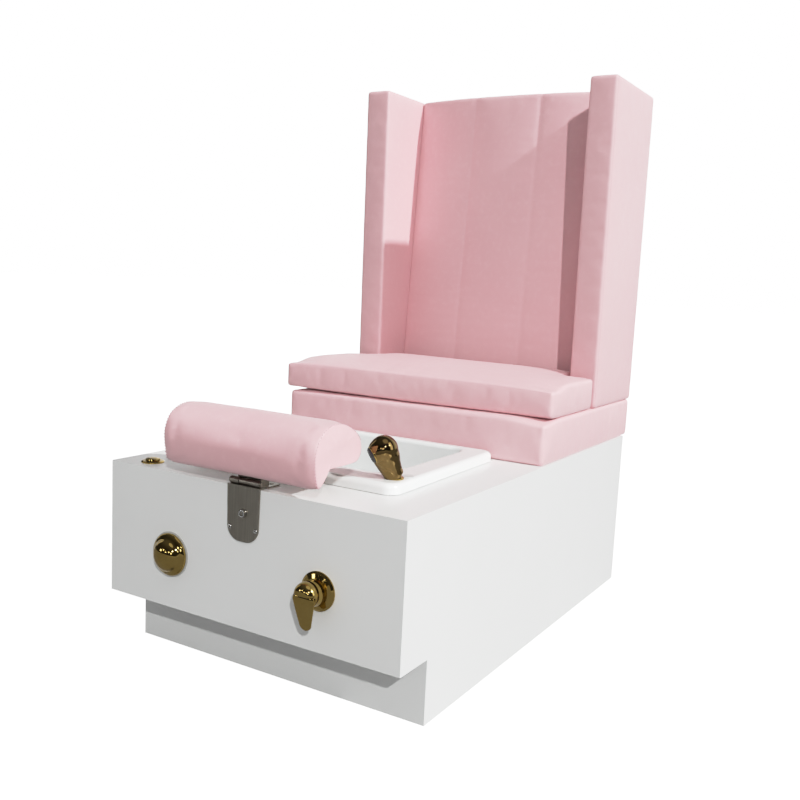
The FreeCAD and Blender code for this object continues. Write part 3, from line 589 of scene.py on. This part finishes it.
def capsule(ends, radius, points, faces):
    """A short thread between two places on a surface, dipping in at both ends."""
    (a, up_a), (b, up_b) = ends
    run = (b - a).normalized()
    sides = 6
    first = len(points)
    shares = ((0.0, 0.35, -1.0), (0.18, 0.85, 0.0), (0.5, 1.0, 0.25), (0.82, 0.85, 0.0), (1.0, 0.35, -1.0))
    for share, thick, lift in shares:
        up = up_a.lerp(up_b, share).normalized()
        side = run.cross(up).normalized()
        centre = a.lerp(b, share) + up * (lift * radius)
        points += circle(centre, side, up, radius * thick, sides)
    rings = len(shares)
    for ring in range(rings - 1):
        for turn in range(sides):
            low = first + ring * sides
            nxt = (turn + 1) % sides
            faces.append((low + turn, low + nxt, low + sides + nxt, low + sides + turn))
    faces.append(tuple(first + turn for turn in range(sides))[::-1])
    faces.append(tuple(first + (rings - 1) * sides + turn for turn in range(sides)))


# ---- Seat base ----

def make_seat_base():
    low, high = span("seat_base")
    inset = 3 * MM
    lines = (
        ticks(low.x + inset, high.x - inset, 11 * MM),
        ticks(low.y + inset, high.y - inset, 12 * MM),
        ticks(low.z + 0.2 * MM, high.z - 1 * MM, 10 * MM),
    )
    corner = Vector((high.x - 12 * MM, low.y + 12 * MM, high.z))

    def pinched(raw):
        """The cover is pulled down and tucked at its front corner on the +X side."""
        pull = math.exp(-((Vector(raw) - corner).length / (48 * MM)) ** 2)
        return (raw[0] - 2 * MM * pull, raw[1] + 2 * MM * pull, raw[2] - 9 * MM * pull)

    return Cover("seat_base_cover", lines, shape=pinched)


# ---- Seat cushion ----

def make_seat_cushion():
    """The loose T-shaped cushion: ears in front of the wings, a tongue between them."""
    low, high = span("seat_cushion")
    wing_low, _ = span("left_wing")
    ear_back = wing_low.y - 17 * MM
    tongue = 296 * MM
    askew = math.radians(2.8)
    middle = Vector((-7 * MM, 0.5 * (low.y + high.y), 0))
    half = 384 * MM
    front = low.y + 17 * MM
    back = high.y - 4 * MM
    lines = (
        ticks(middle.x - half, middle.x + half, 10 * MM, (middle.x - tongue, middle.x + tongue)),
        ticks(front, back, 10 * MM, (ear_back,)),
        ticks(low.z + 1 * MM, high.z - 12 * MM, 9 * MM),
    )

    def kept(cell):
        return cell[1] < ear_back or abs(cell[0] - middle.x) < tongue

    def skewed(raw):
        """Turned a little on the seat, less towards the back, with a crown, a lip and a slight tilt."""
        share = min(1, max(0, (ear_back + 60 * MM - raw.y) / (ear_back + 60 * MM - front)))
        x = raw.x - middle.x
        y = raw.y + math.tan(askew) * x * (0.45 + 0.55 * share)
        up = (raw.z - lines[2][0]) / (lines[2][-1] - lines[2][0])
        lip = max(0, 1 - (raw.y - front) / (30 * MM))
        crown = 7 * MM * (1 - (x / half) ** 4) + 12 * MM * soft_step(raw.y, front + 65 * MM, 75 * MM)
        tilt = 4.5 * MM * max(0, -x / half)
        return (middle.x + x, y, raw.z + up * crown + (1 - up) * 3.5 * MM * lip + tilt)

    return Cover("seat_cushion_cover", lines, kept, skewed)


# ---- Wings ----

def make_wing(node):
    """A tall side wing whose front slopes back towards its foot."""
    low, high = span(node)
    inset = 1 * MM
    lean = 12 * MM
    lines = (
        ticks(low.x + inset, high.x - inset, 9 * MM),
        ticks(low.y + inset, high.y - inset, 11 * MM),
        ticks(low.z + 0.5 * MM, high.z - 3 * MM, 12 * MM),
    )

    def leaned(raw):
        up = (raw.z - low.z) / (high.z - low.z)
        behind = (high.y - raw.y) / (high.y - low.y)
        return (raw.x, raw.y + lean * (1 - up) * behind, raw.z)

    return Cover(node + "_cover", lines, shape=leaned)


# ---- Backrest ----

def make_back_cushion():
    """Three padded panels, crowned across and leaning back."""
    low, high = span("back_cushion")
    inset = 2 * MM
    seam_at = 103 * MM
    foot_face = 490 * MM
    head_face = 549 * MM
    crown = 34 * MM
    lines = (
        ticks(low.x + inset, high.x - inset, 10 * MM, (-seam_at, seam_at)),
        ticks(0, 1, 0.11),
        ticks(low.z + 1 * MM, high.z - 4 * MM, 12 * MM),
    )

    def leaned(raw):
        up = (raw.z - low.z) / (high.z - low.z)
        side = foot_face + (head_face - foot_face) * up
        bow = crown * (1 - abs(raw.x / high.x) ** 2.4)
        front = side - bow
        return (raw.x, front + (high.y - 1 * MM - front) * raw.y, raw.z)

    def sewn(ends):
        return all(same(abs(p[0]), seam_at) and same(p[1], 0) for p in ends)

    return Cover("back_cushion_cover", lines, shape=leaned, seam=sewn)


def make_back_cover():
    """The flat padded panel behind the backrest."""
    low, high = span("back_cover")
    inset = 2 * MM
    lines = (
        ticks(low.x + inset, high.x - inset, 12 * MM),
        ticks(low.y + 1 * MM, high.y - 3 * MM, 9 * MM),
        ticks(low.z + 1 * MM, high.z - 4 * MM, 12 * MM),
    )
    return Cover("back_cover_panel", lines)


base = make_seat_base()
cushion = make_seat_cushion()
left_wing = make_wing("left_wing")
right_wing = make_wing("right_wing")
back = make_back_cushion()
rear = make_back_cover()

# ---- Footrest bolster ----


def bolster_profile():
    """The bolster's outline across, from the skirt's lip over the top to the back and home."""
    low, high = span("footrest_pad")
    shares = [
        (0.095, 0.000), (0.055, 0.060), (0.018, 0.260), (0.002, 0.500), (0.042, 0.700), (0.125, 0.855),
        (0.270, 0.960), (0.420, 0.995), (0.580, 0.975), (0.730, 0.900), (0.870, 0.780), (0.965, 0.640),
        (0.995, 0.490), (0.960, 0.360), (0.880, 0.290), (0.700, 0.275), (0.500, 0.275), (0.330, 0.275),
        (0.235, 0.265), (0.190, 0.200), (0.175, 0.090), (0.140, 0.010),
    ]
    depth, height = high.y - low.y, high.z - low.z
    return [Vector((0, low.y + u * depth, low.z + v * height)) for u, v in shares]


def closed_curve(corners, count):
    """`count` places evenly spaced on a smooth closed curve through the corners."""
    dense = []
    total = len(corners)
    steps = 12
    for i in range(total):
        four = [corners[(i + d) % total] for d in (-1, 0, 1, 2)]
        dense += [curve_between(*four, step / steps) for step in range(steps)]
    loop = dense + [dense[0]]
    length = sum((b - a).length for a, b in zip(loop, loop[1:]))
    return [along_path(loop, length * i / count) for i in range(count)]


class Bolster:
    """The footrest's cover: a sleeve with a sewn end panel at each side."""

    def __init__(self):
        low, high = span("footrest_pad")
        self.name = "footrest_cover"
        self.half = high.x - 7 * MM
        around = 84
        profile = closed_curve(bolster_profile(), around)
        stations = ticks(-self.half, self.half, 6.5 * MM)
        centre = sum(profile, Vector()) / around
        centre = centre + Vector((0, 6 * MM, 14 * MM))
        points = []
        faces = []
        for x in stations:
            turn = 0.05 * max(0, 1 - (self.half - abs(x)) / (26 * MM)) ** 2
            points += [Vector((x, p.y + (centre.y - p.y) * turn, p.z + (centre.z - p.z) * turn))
                       for p in profile]
        for s in range(len(stations) - 1):
            for i in range(around):
                a, b = s * around + i, s * around + (i + 1) % around
                faces.append((a, b, b + around, a + around))
        for end, x in ((0, -self.half), (len(stations) - 1, self.half)):
            outer = [end * around + i for i in range(around)]
            for share in (0.88, 0.72, 0.55, 0.38, 0.2):
                ring = []
                for p in profile:
                    ring.append(len(points))
                    bulge = math.copysign(5 * MM * (1 - share ** 2), x)
                    points.append(Vector((x + bulge, centre.y + (p.y - centre.y) * share * 0.95,
                                          centre.z + (p.z - centre.z) * share * 0.95)))
                for i in range(around):
                    j = (i + 1) % around
                    faces.append((outer[i], outer[j], ring[j], ring[i]))
                outer = ring
            faces.append(tuple(outer))
        self.object = mesh_object(self.name, points, faces, MATERIALS["pink_vinyl"])
        fix_normals(self.object)
        last = (len(stations) - 1) * around
        self.ends = [list(range(around)), list(range(last, last + around))]
        underside = low.z + 0.285 * (high.z - low.z)
        under = [i for i, p in enumerate(points) if p.z < underside and p.y > low.y + 28 * MM]
        self.held = sorted(set(self.ends[0] + self.ends[1] + under))
        self.sunk = set()
        self.object.vertex_groups.new(name="seams").add(self.held, 1.0, "REPLACE")
        self.crease()

    def crease(self):
        """The end panels' seams stay a little sharp."""
        work = bmesh.new()
        work.from_mesh(self.object.data)
        layer = work.edges.layers.float.new("crease_edge")
        rings = [set(ring) for ring in self.ends]
        for edge in work.edges:
            ids = {v.index for v in edge.verts}
            if any(ids <= ring for ring in rings):
                edge[layer] = 0.45
        work.to_mesh(self.object.data)
        work.free()

    def seam_path(self, end):
        ring = self.ends[end]
        return [self.object.data.vertices[i].co.copy() for i in ring + ring[:1]]


bolster = Bolster()

COVERS = [
    # cover, pressure, most movement, looseness of the cloth
    (base, 3.0, 5 * MM, 0.004),
    (cushion, 5.0, 17 * MM, 0.004),
    (left_wing, 3.0, 5 * MM, 0.002),
    (right_wing, 3.0, 5 * MM, 0.002),
    (back, 4.0, 8 * MM, 0.002),
    (rear, 3.0, 5 * MM, 0.002),
    (bolster, 4.0, 3 * MM, 0.003),
]
if SIMULATE:
    inflate(COVERS)

for number, (cover, _, _, _) in enumerate(COVERS):
    puckers(cover, height=0.55 * MM, reach=60 * MM, wave=34 * MM, seed=11 + number)
    smooth_out(cover, 4 if cover is bolster else 1)
    subdivide(cover)


def finish_covers():
    for cover, body, nodes, fill in (
        (base, "chair", ["seat_base"], 0.9),
        (cushion, "seat_cushion", ["seat_cushion"], 0.8),
        (left_wing, "chair", ["left_wing"], 0.9),
        (right_wing, "chair", ["right_wing"], 0.9),
        (back, "chair", ["back_cushion"], 0.85),
        (rear, "chair", ["back_cover"], 0.9),
        (bolster, "footrest", ["footrest_pad"], 0.9),
    ):
        keep(cover.object, body, "pink_vinyl", *nodes)


finish_covers()


def sew():
    """Topstitching beside the seams that the chair shows."""
    front = min(cushion.lines[1])
    top = max(cushion.lines[2])
    edge = cushion.line(lambda raw: same(raw[1], front) and same(raw[2], top))
    shifted = [p + Vector((0, 0, -3 * MM)) for p in edge]
    row = stitches("seat_cushion_front_stitching", cushion.object, shifted)
    keep(row, "seat_cushion", "pink_vinyl")
    for cover, side in ((left_wing, -1), (right_wing, 1)):
        outer = max(cover.lines[0]) if side > 0 else min(cover.lines[0])
        face = min(cover.lines[1])
        edge = cover.line(lambda raw: same(raw[0], outer) and same(raw[1], face))
        shifted = [p + Vector((0, 4 * MM, 0)) for p in edge]
        keep(stitches(cover.name + "_stitching", cover.object, shifted), "chair", "pink_vinyl")
    for end, side in ((0, -1), (1, 1)):
        path = [p + Vector((side * MM, 0, 0)) for p in bolster.seam_path(end)]
        name = f"footrest_end_stitching_{end}"
        row = stitches(name, bolster.object, path[:50], stitch=3.6 * MM, radius=0.9 * MM)
        keep(row, "footrest", "pink_vinyl")


sew()

# ======== Gold fittings ========


def millimetres(*places):
    """A turned profile's (radius, height) places, given in millimetres."""
    return [(radius * MM, height * MM) for radius, height in places]


def lofted(name, rings, material):
    """A skin over rings of equally many points, closed by one face at each end."""
    count = len(rings[0])
    points = [p for ring in rings for p in ring]
    faces = []
    for r in range(len(rings) - 1):
        for i in range(count):
            j = (i + 1) % count
            faces.append((r * count + i, r * count + j, (r + 1) * count + j, (r + 1) * count + i))
    faces.append(tuple(range(count))[::-1])
    faces.append(tuple((len(rings) - 1) * count + i for i in range(count)))
    made = mesh_object(name, points, faces, material)
    fix_normals(made)
    return made


def turned(name, centre, axis, profile, material, sides=64):
    """A turned piece: (radius, height) places about an axis through its centre."""
    axis = Vector(axis).normalized()
    side = axis.orthogonal().normalized()
    other = axis.cross(side)
    rings = [circle(centre + axis * height, side, other, radius, sides) for radius, height in profile]
    return lofted(name, rings, material)


def hooded_dial(name, centre, skirt, radius, dome, flat, lip, width, material):
    """A round cap on the front panel: a flat lower face under a domed hood."""
    rings = [[], []]
    sides = 96
    steps = 26
    for level, ring in zip(skirt, rings):
        for i in range(sides):
            angle = 2 * math.pi * i / sides
            ring.append(centre + Vector((radius * math.cos(angle), -level, radius * math.sin(angle))))
    for k in range(steps, 0, -1):
        share = math.sin(math.pi / 2 * k / steps)
        ring = []
        for i in range(sides):
            angle = 2 * math.pi * i / sides
            x = radius * share * math.cos(angle)
            z = radius * share * math.sin(angle)
            hood = skirt[1] + (dome - skirt[1]) * math.sqrt(max(0, 1 - share ** 3))
            plain = skirt[1] + (flat - skirt[1]) * min(1, 9 * (1 - share))
            height = min(hood, plain) + (hood - min(hood, plain)) * soft_step(z, lip, width)
            ring.append(centre + Vector((x, -height, z)))
        rings.append(ring)
    return lofted(name, rings, material)


def make_waste_knob():
    """A dome on a wider rounded skirt."""
    low, high = span("waste_knob")
    centre = Vector((0.5 * (low.x + high.x), span("front_panel")[0].y, 0.5 * (low.z + high.z)))
    profile = millimetres(
        (45, 1.9), (46, 3), (46.2, 5.5), (45.2, 8.2), (42.8, 10.6), (39.6, 12.6), (36.4, 14.4), (34.2, 16.4),
        (32.8, 18.8), (31.2, 21.4), (28.6, 24), (25, 26.6), (20.5, 29), (15.5, 30.9), (10, 32.2), (5, 32.9),
        (0.2, 33.1),
    )
    knob = turned("waste_knob_cap", centre, (0, -1, 0), profile, MATERIALS["gold"], 96)
    keep(knob, "waste_knob", "gold", "waste_knob")


def make_bellows():
    """The air button's folded rubber bellows, half a millimetre short of the pressed button."""
    low, high = span("air_bellows")
    top = Vector((0.5 * (low.x + high.x), 0.5 * (low.y + high.y), high.z))
    folds = []
    for fold in range(3):
        level = (-13 + 4 * fold) * MM
        folds += [(13 * MM, level - 1.2 * MM), (13 * MM, level), (11.4 * MM, level + 1.2 * MM),
                  (11.4 * MM, level + 1.8 * MM)]
    foot = millimetres((0.2, -16), (12.6, -16))
    rim = millimetres((12.6, -1.4), (12.2, -0.5), (9.6, -0.5), (9.2, -1), (9.2, -2), (0.2, -2))
    bellows = turned("air_bellows_folds", top, (0, 0, 1), foot + folds + rim, MATERIALS["grey_rubber"], 48)
    keep(bellows, "chair", "grey_rubber", "air_bellows")


def make_mixer():
    """The domed hub with its flat front below, and the paddle that hangs from it."""
    low, high = span("mixer_hub")
    panel = span("front_panel")[0].y
    centre = Vector((0.5 * (low.x + high.x), panel, 0.5 * (low.z + high.z) + 3.5 * MM))
    hub = hooded_dial("mixer_hub_cap", centre, skirt=(30.5 * MM, 38 * MM), radius=25 * MM, dome=57 * MM,
                      flat=40 * MM, lip=-1 * MM, width=5 * MM, material=MATERIALS["gold"])
    keep(hub, "mixer_hub", "gold", "mixer_hub")
    top = centre.z - 0.5 * MM
    drop = top - (span("mixer_lever")[0].z - 3.5 * MM)
    rings = []
    sections = 36
    for k in range(sections + 1):
        share = k / sections
        half = 23 * MM + 2.5 * MM * soft_step(share, 0.06, 0.2) - 14.5 * MM * max(0, share - 0.12) / 0.88
        end = max(0, (share - 0.86) / 0.14)
        half = half * math.sqrt(max(0, 1 - end * end)) + 0.4 * MM
        start = math.sqrt(min(1, 0.12 + 8 * share))
        thick = 8.5 * MM * start * (1 - 0.45 * share) * (0.35 + 0.65 * math.sqrt(max(0, 1 - end * end)))
        face = panel - 51 * MM + 12.5 * MM * share ** 1.25 + (1 - start) * 4 * MM
        rings.append(paddle_section(centre.x, face, top - drop * share, half, thick))
    paddle = lofted("mixer_lever_paddle", rings, MATERIALS["gold"])
    keep(paddle, "mixer_lever", "gold", "mixer_lever")


def paddle_section(x, face, z, half, thick):
    """A lens-cornered slice of the paddle, `thick` deep behind its face."""
    ring = []
    for i in range(28):
        angle = 2 * math.pi * i / 28
        across, deep = math.cos(angle), math.sin(angle)
        across = math.copysign(abs(across) ** 0.55, across)
        deep = math.copysign(abs(deep) ** 0.7, deep)
        ring.append(Vector((x + half * across, face + 0.5 * thick * (1 + deep), z)))
    return ring


def spine(offsets, centre, count):
    """A smooth line of places and radii through (along X, along Y, up, radius) stops in millimetres."""
    knots = [offsets[0], *offsets, offsets[-1]]
    line = []
    for i in range(1, len(knots) - 2):
        four = [np.array(knots[i + d]) for d in (-1, 0, 1, 2)]
        line += [curve_between(*four, step / count) for step in range(count)]
    line.append(np.array(knots[-1]))
    return [(centre + Vector(p[:3]) * MM, p[3] * MM) for p in line]


SHOWER_HEAD = (-18, -20, 61)  # millimetres from the dock's middle at the basin rim's height
SHOWER_FACING = Vector((-0.60, -0.66, -0.45)).normalized()


def make_hand_shower():
    """A handle that leans from its dock into a round head, with a dark spray face."""
    low, high = span("shower_dock")
    rim = span("basin_shell")[1].z
    foot = Vector((0.5 * (low.x + high.x), 0.5 * (low.y + high.y), rim))
    head = foot + Vector(SHOWER_HEAD) * MM
    keep(shower_body(foot, head), "hand_shower", "gold", "hand_shower")
    face = head + SHOWER_FACING * 25 * MM
    collar = turned("spray_collar", face, SHOWER_FACING, millimetres(
        (12, -3), (17.5, -3), (19, -1), (19, 1), (17.8, 2), (16.8, 1), (12, 1),
    ), MATERIALS["gold"])
    keep(collar, "hand_shower", "gold")
    keep(spray_plate(face), "hand_shower", "black_plastic", "spray_face")


def shower_body(foot, head):
    """The swelling handle and the domed head, melted together and smoothed."""
    line = spine([
        (0, 0, -38, 10.5), (0, 0, 1, 10.5), (0, -2, 5, 20), (-4, -7, 16, 22), (-9, -12, 30, 25),
        (-13, -16, 43, 28.5), (-16, -18, 52, 29), (*SHOWER_HEAD, 29),
    ], foot, 6)
    rings = []
    for index, (place, radius) in enumerate(line):
        ahead = line[min(index + 1, len(line) - 1)][0] - line[max(index - 1, 0)][0]
        ahead.normalize()
        side = ahead.cross(Vector((0.35, -1, 0))).normalized()
        rings.append(circle(place, side, ahead.cross(side) * 0.84, radius, 40))
    # The handle and head take the darker copy of the gold: painted shade for the dark surroundings they
    # mirror.
    handle = lofted("hand_shower_body", rings, SHADED_GOLD)
    reach = 29.5 * MM
    turns = [math.pi / 2 * t / 16 for t in range(16)]
    profile = [(0.2 * MM, reach)]
    profile += [(reach * math.cos(turn), reach * math.sin(turn)) for turn in reversed(turns)]
    profile += millimetres((28, -8), (24.5, -17), (20, -25), (0.2, -25))
    dome = turned("head", head, -SHOWER_FACING, profile, SHADED_GOLD, 48)
    merged = join([handle, dome])
    remesh = merged.modifiers.new("melt", "REMESH")
    remesh.mode = "VOXEL"
    remesh.voxel_size = 1.1 * MM
    smooth = merged.modifiers.new("smooth", "SMOOTH")
    smooth.iterations = 45
    apply_modifiers(merged)
    merged.data.shade_smooth()
    return merged


def spray_plate(face):
    """A shallow plate with rings of rubber nozzles."""
    plate = turned("spray_plate", face, SHOWER_FACING, millimetres(
        (0.2, 6), (13, 5.6), (16.2, 4.4), (16.8, 2), (16.8, 0.5), (0.2, 0.5),
    ), MATERIALS["black_plastic"])
    nubs = [plate]
    side = SHOWER_FACING.orthogonal().normalized()
    other = SHOWER_FACING.cross(side)
    for ring_radius, holes in ((0, 1), (4.5, 6), (8.8, 12), (12.8, 18)):
        for at in circle(face + SHOWER_FACING * 5 * MM, side, other, ring_radius * MM, holes):
            nubs.append(turned("nub", at, SHOWER_FACING, millimetres(
                (0.9, -1.5), (0.9, 0.6), (0.55, 1.5), (0.1, 1.5),
            ), MATERIALS["black_plastic"], 10))
    return join(nubs)


def join(things):
    """Several meshes as one piece, named after the first."""
    work = bmesh.new()
    for thing in things:
        work.from_mesh(thing.data)
    work.to_mesh(things[0].data)
    work.free()
    things[0].data.shade_smooth()
    for thing in things[1:]:
        data = thing.data
        bpy.data.objects.remove(thing)
        bpy.data.meshes.remove(data)
    return things[0]


def socket_head(name, centre, axis, radius, height, recess):
    """A button head with a hexagon socket."""
    axis = Vector(axis).normalized()
    side = axis.orthogonal().normalized()
    other = axis.cross(side)
    sides = 48

    def loop(size, level, hexagon=False):
        ring = []
        for i in range(sides):
            angle = 2 * math.pi * i / sides
            reach = size
            if hexagon:
                reach = size * math.cos(math.pi / 6) / math.cos((angle % (math.pi / 3)) - math.pi / 6)
            ring.append(centre + axis * level + (side * math.cos(angle) + other * math.sin(angle)) * reach)
        return ring

    rings = [loop(radius, 0), loop(radius, 0.25 * height)]
    flat = recess * 1.25
    for k in range(1, 7):
        turn = math.pi / 2 * k / 7
        size = flat + (radius - flat) * math.cos(turn)
        rings.append(loop(size, height * (0.25 + 0.75 * math.sin(turn))))
    rings += [loop(recess, height, True), loop(recess, 0.35 * height, True)]
    rings.append(loop(0.2 * recess, 0.3 * height))
    return lofted(name, rings, BRIGHT_STEEL)


def make_bracket_heads():
    """The bolt and the two small screws that show on the bracket."""
    face = span("footrest_bracket")[0].y
    ahead = (0, -1, 0)
    bolt = socket_head("bracket_bolt_head", Vector((0, face, 379 * MM)), ahead,
                       radius=9.7 * MM, height=5.4 * MM, recess=4.6 * MM)
    keep(bolt, "chair", "steel")
    for number, side in enumerate((-1, 1)):
        place = Vector((side * 33 * MM, face, 347 * MM))
        screw = socket_head(f"bracket_screw_head_{number}", place, ahead,
                            radius=4.8 * MM, height=1.9 * MM, recess=1.9 * MM)
        keep(screw, "chair", "steel")


make_waste_knob()
make_bellows()
make_mixer()
make_hand_shower()
make_bracket_heads()

# ======== Light and floor ========

PAPER_WHITE = 2.0
FLOOR_BOUNCE = 0.24


def sun_light(name, azimuth, elevation, energy, angle):
    """A sun that shines from an azimuth, measured from the front towards +X, in degrees."""
    lamp = bpy.data.lights.new(name, "SUN")
    lamp.energy = energy
    lamp.angle = math.radians(angle)
    made = bpy.data.objects.new(name, lamp)
    flat = math.cos(math.radians(elevation))
    source = Vector((
        flat * math.sin(math.radians(azimuth)), -flat * math.cos(math.radians(azimuth)),
        math.sin(math.radians(elevation)),
    ))
    made.rotation_euler = source.to_track_quat("Z", "Y").to_euler()
    scene.collection.objects.link(made)


def lamp_at(name, place, energy, radius):
    """A small lamp that shines all round."""
    lamp = bpy.data.lights.new(name, "POINT")
    lamp.energy = energy
    lamp.shadow_soft_size = radius
    made = bpy.data.objects.new(name, lamp)
    made.location = place
    scene.collection.objects.link(made)


def set_light():
    """A key lamp in front on the right, a side light, a little light from above and a dim surround."""
    lamp_at("key", (4.85, -5.85, 4.4), 1370, 0.09)
    sun_light("side_light", 89.5, 35.4, 3.7, 1.5)
    sun_light("top_fill", 60, 76, 0.25, 40)
    set_world()
    set_tone()


def set_tone():
    """A film's soft shoulder: bright vinyl pales and white lacquer keeps its shape."""
    view = scene.view_settings
    view.view_transform = "Standard"
    view.use_curve_mapping = True
    tones = view.curve_mapping
    tones.clip_max_x = PAPER_WHITE
    line = tones.curves[3]
    line.points[-1].location = (PAPER_WHITE, 1.0)
    for light, tone in ((0.35, 0.35), (0.6, 0.59), (0.8, 0.71), (1.1, 0.82), (1.5, 0.92)):
        line.points.new(light, tone)
    tones.update()


class Surround:
    """The world's nodes: what lights the chair, what shiny parts mirror and what the camera sees."""

    def __init__(self):
        world = bpy.data.worlds.new("studio")
        world.use_nodes = True
        scene.world = world
        self.tree = world.node_tree
        way = self.tree.nodes.new("ShaderNodeTexCoord")
        split = self.tree.nodes.new("ShaderNodeSeparateXYZ")
        self.tree.links.new(way.outputs["Generated"], split.inputs[0])
        self.way = split.outputs

    def feed(self, sockets, values):
        """Sockets take plain numbers or other nodes' outputs."""
        for socket, value in zip(sockets, values):
            if isinstance(value, (int, float)):
                socket.default_value = value
            else:
                self.tree.links.new(value, socket)

    def math(self, kind, *values):
        node = self.tree.nodes.new("ShaderNodeMath")
        node.operation = kind
        self.feed(node.inputs, values)
        return node.outputs[0]

    def ramp(self, value, start, end):
        """0 below `start`, 1 above `end`, smooth between them."""
        node = self.tree.nodes.new("ShaderNodeMapRange")
        node.interpolation_type = "SMOOTHSTEP"
        node.inputs["From Min"].default_value = start
        node.inputs["From Max"].default_value = end
        self.tree.links.new(value, node.inputs["Value"])
        return node.outputs["Result"]

    def window(self, azimuth, elevation, wide, high):
        """A bright panel around a direction, with azimuths measured from the front towards +X."""
        turn = math.radians(azimuth)
        ahead = self.math("SUBTRACT", self.math("MULTIPLY", self.way["X"], math.sin(turn)),
                          self.math("MULTIPLY", self.way["Y"], math.cos(turn)))
        aside = self.math("ABSOLUTE", self.math("ADD", self.math("MULTIPLY", self.way["X"], math.cos(turn)),
                                                self.math("MULTIPLY", self.way["Y"], math.sin(turn))))
        level = math.sin(math.radians(elevation))
        off = self.math("ABSOLUTE", self.math("SUBTRACT", self.way["Z"], level))
        across = self.math("SUBTRACT", 1, self.ramp(aside, wide, 1.3 * wide))
        along = self.math("SUBTRACT", 1, self.ramp(off, high, 1.3 * high))
        return self.math("MULTIPLY", self.math("MULTIPLY", across, along), self.ramp(ahead, 0, 0.05))

    def background(self, strength):
        node = self.tree.nodes.new("ShaderNodeBackground")
        node.inputs["Color"].default_value = (1, 1, 1, 1)
        self.feed([node.inputs["Strength"]], [strength])
        return node.outputs[0]

    def mix(self, share, first, second):
        node = self.tree.nodes.new("ShaderNodeMixShader")
        self.feed(node.inputs, (share, first, second))
        return node.outputs[0]


def set_world():
    """A dark room with small windows for the gold to mirror, and a dim graded light for the rest."""
    around = Surround()
    calc = around.math
    rear_right = calc("MULTIPLY", calc("ADD", around.way["X"], around.way["Y"]), 0.707)
    lights = calc("MULTIPLY_ADD", around.ramp(rear_right, -0.1, 0.9), 0.07, 0.04)
    ahead_left = calc("MULTIPLY", around.way["Y"], -0.75)
    ahead_left = calc("MULTIPLY_ADD", around.way["X"], -0.40, ahead_left)
    ahead_left = calc("MULTIPLY_ADD", around.way["Z"], 0.53, ahead_left)
    lights = calc("MULTIPLY_ADD", around.ramp(ahead_left, 0.15, 0.95), 0.47, lights)
    mirrored = calc("MULTIPLY_ADD", around.ramp(around.way["Z"], 0.35, 1.0), 0.10, 0.035)
    mirrored = calc("MULTIPLY_ADD", around.ramp(around.way["Y"], 0.45, 0.85), 1.4, mirrored)
    for azimuth, elevation, wide, high, strength in (
        (-42, 9, 0.05, 0.05, 9), (-27, 16, 0.035, 0.04, 9), (-12, 10, 0.05, 0.035, 7),
        (8, 15, 0.04, 0.04, 9), (24, 12, 0.05, 0.05, 9), (100, 25, 0.16, 0.33, 2.6),
        (-95, 20, 0.10, 0.22, 1.1),
    ):
        pane = around.window(azimuth, elevation, wide, high)
        mirrored = calc("MULTIPLY_ADD", pane, strength, mirrored)
    ray = around.tree.nodes.new("ShaderNodeLightPath").outputs
    seen = around.mix(ray["Is Glossy Ray"], around.background(lights), around.background(mirrored))
    seen = around.mix(ray["Is Camera Ray"], seen, around.background(PAPER_WHITE))
    around.tree.links.new(seen, around.tree.nodes["World Output"].inputs["Surface"])


def seen_first(tree, bounced, seen, output):
    """What the picture shows directly is paler than what lights the chair."""
    ray = tree.nodes.new("ShaderNodeLightPath")
    mix = tree.nodes.new("ShaderNodeMixShader")
    for socket, value in zip(mix.inputs, (ray.outputs["Is Camera Ray"], bounced, seen)):
        tree.links.new(value, socket)
    tree.links.new(mix.outputs[0], output)


def set_floor():
    """A wide pale floor."""
    finish = Finish("floor", (0.30, 0.30, 0.30), 0.9)
    finish.tint(finish.noise(2, 2), (0.295, 0.295, 0.295))
    finish.shader.inputs["Emission Color"].default_value = (1, 1, 1, 1)
    finish.shader.inputs["Emission Strength"].default_value = PAPER_WHITE
    tree = finish.tree
    dim = tree.nodes.new("ShaderNodeBsdfDiffuse")
    dim.inputs["Color"].default_value = (FLOOR_BOUNCE, FLOOR_BOUNCE, FLOOR_BOUNCE, 1)
    surface = tree.nodes["Material Output"].inputs["Surface"]
    seen_first(tree, dim.outputs[0], finish.shader.outputs[0], surface)
    reach = 40.0
    corners = [(-reach, -reach, 0), (reach, -reach, 0), (reach, reach, 0), (-reach, reach, 0)]
    floor = mesh_object("floor", corners, [(0, 1, 2, 3)], finish.material)


set_light()
set_floor()
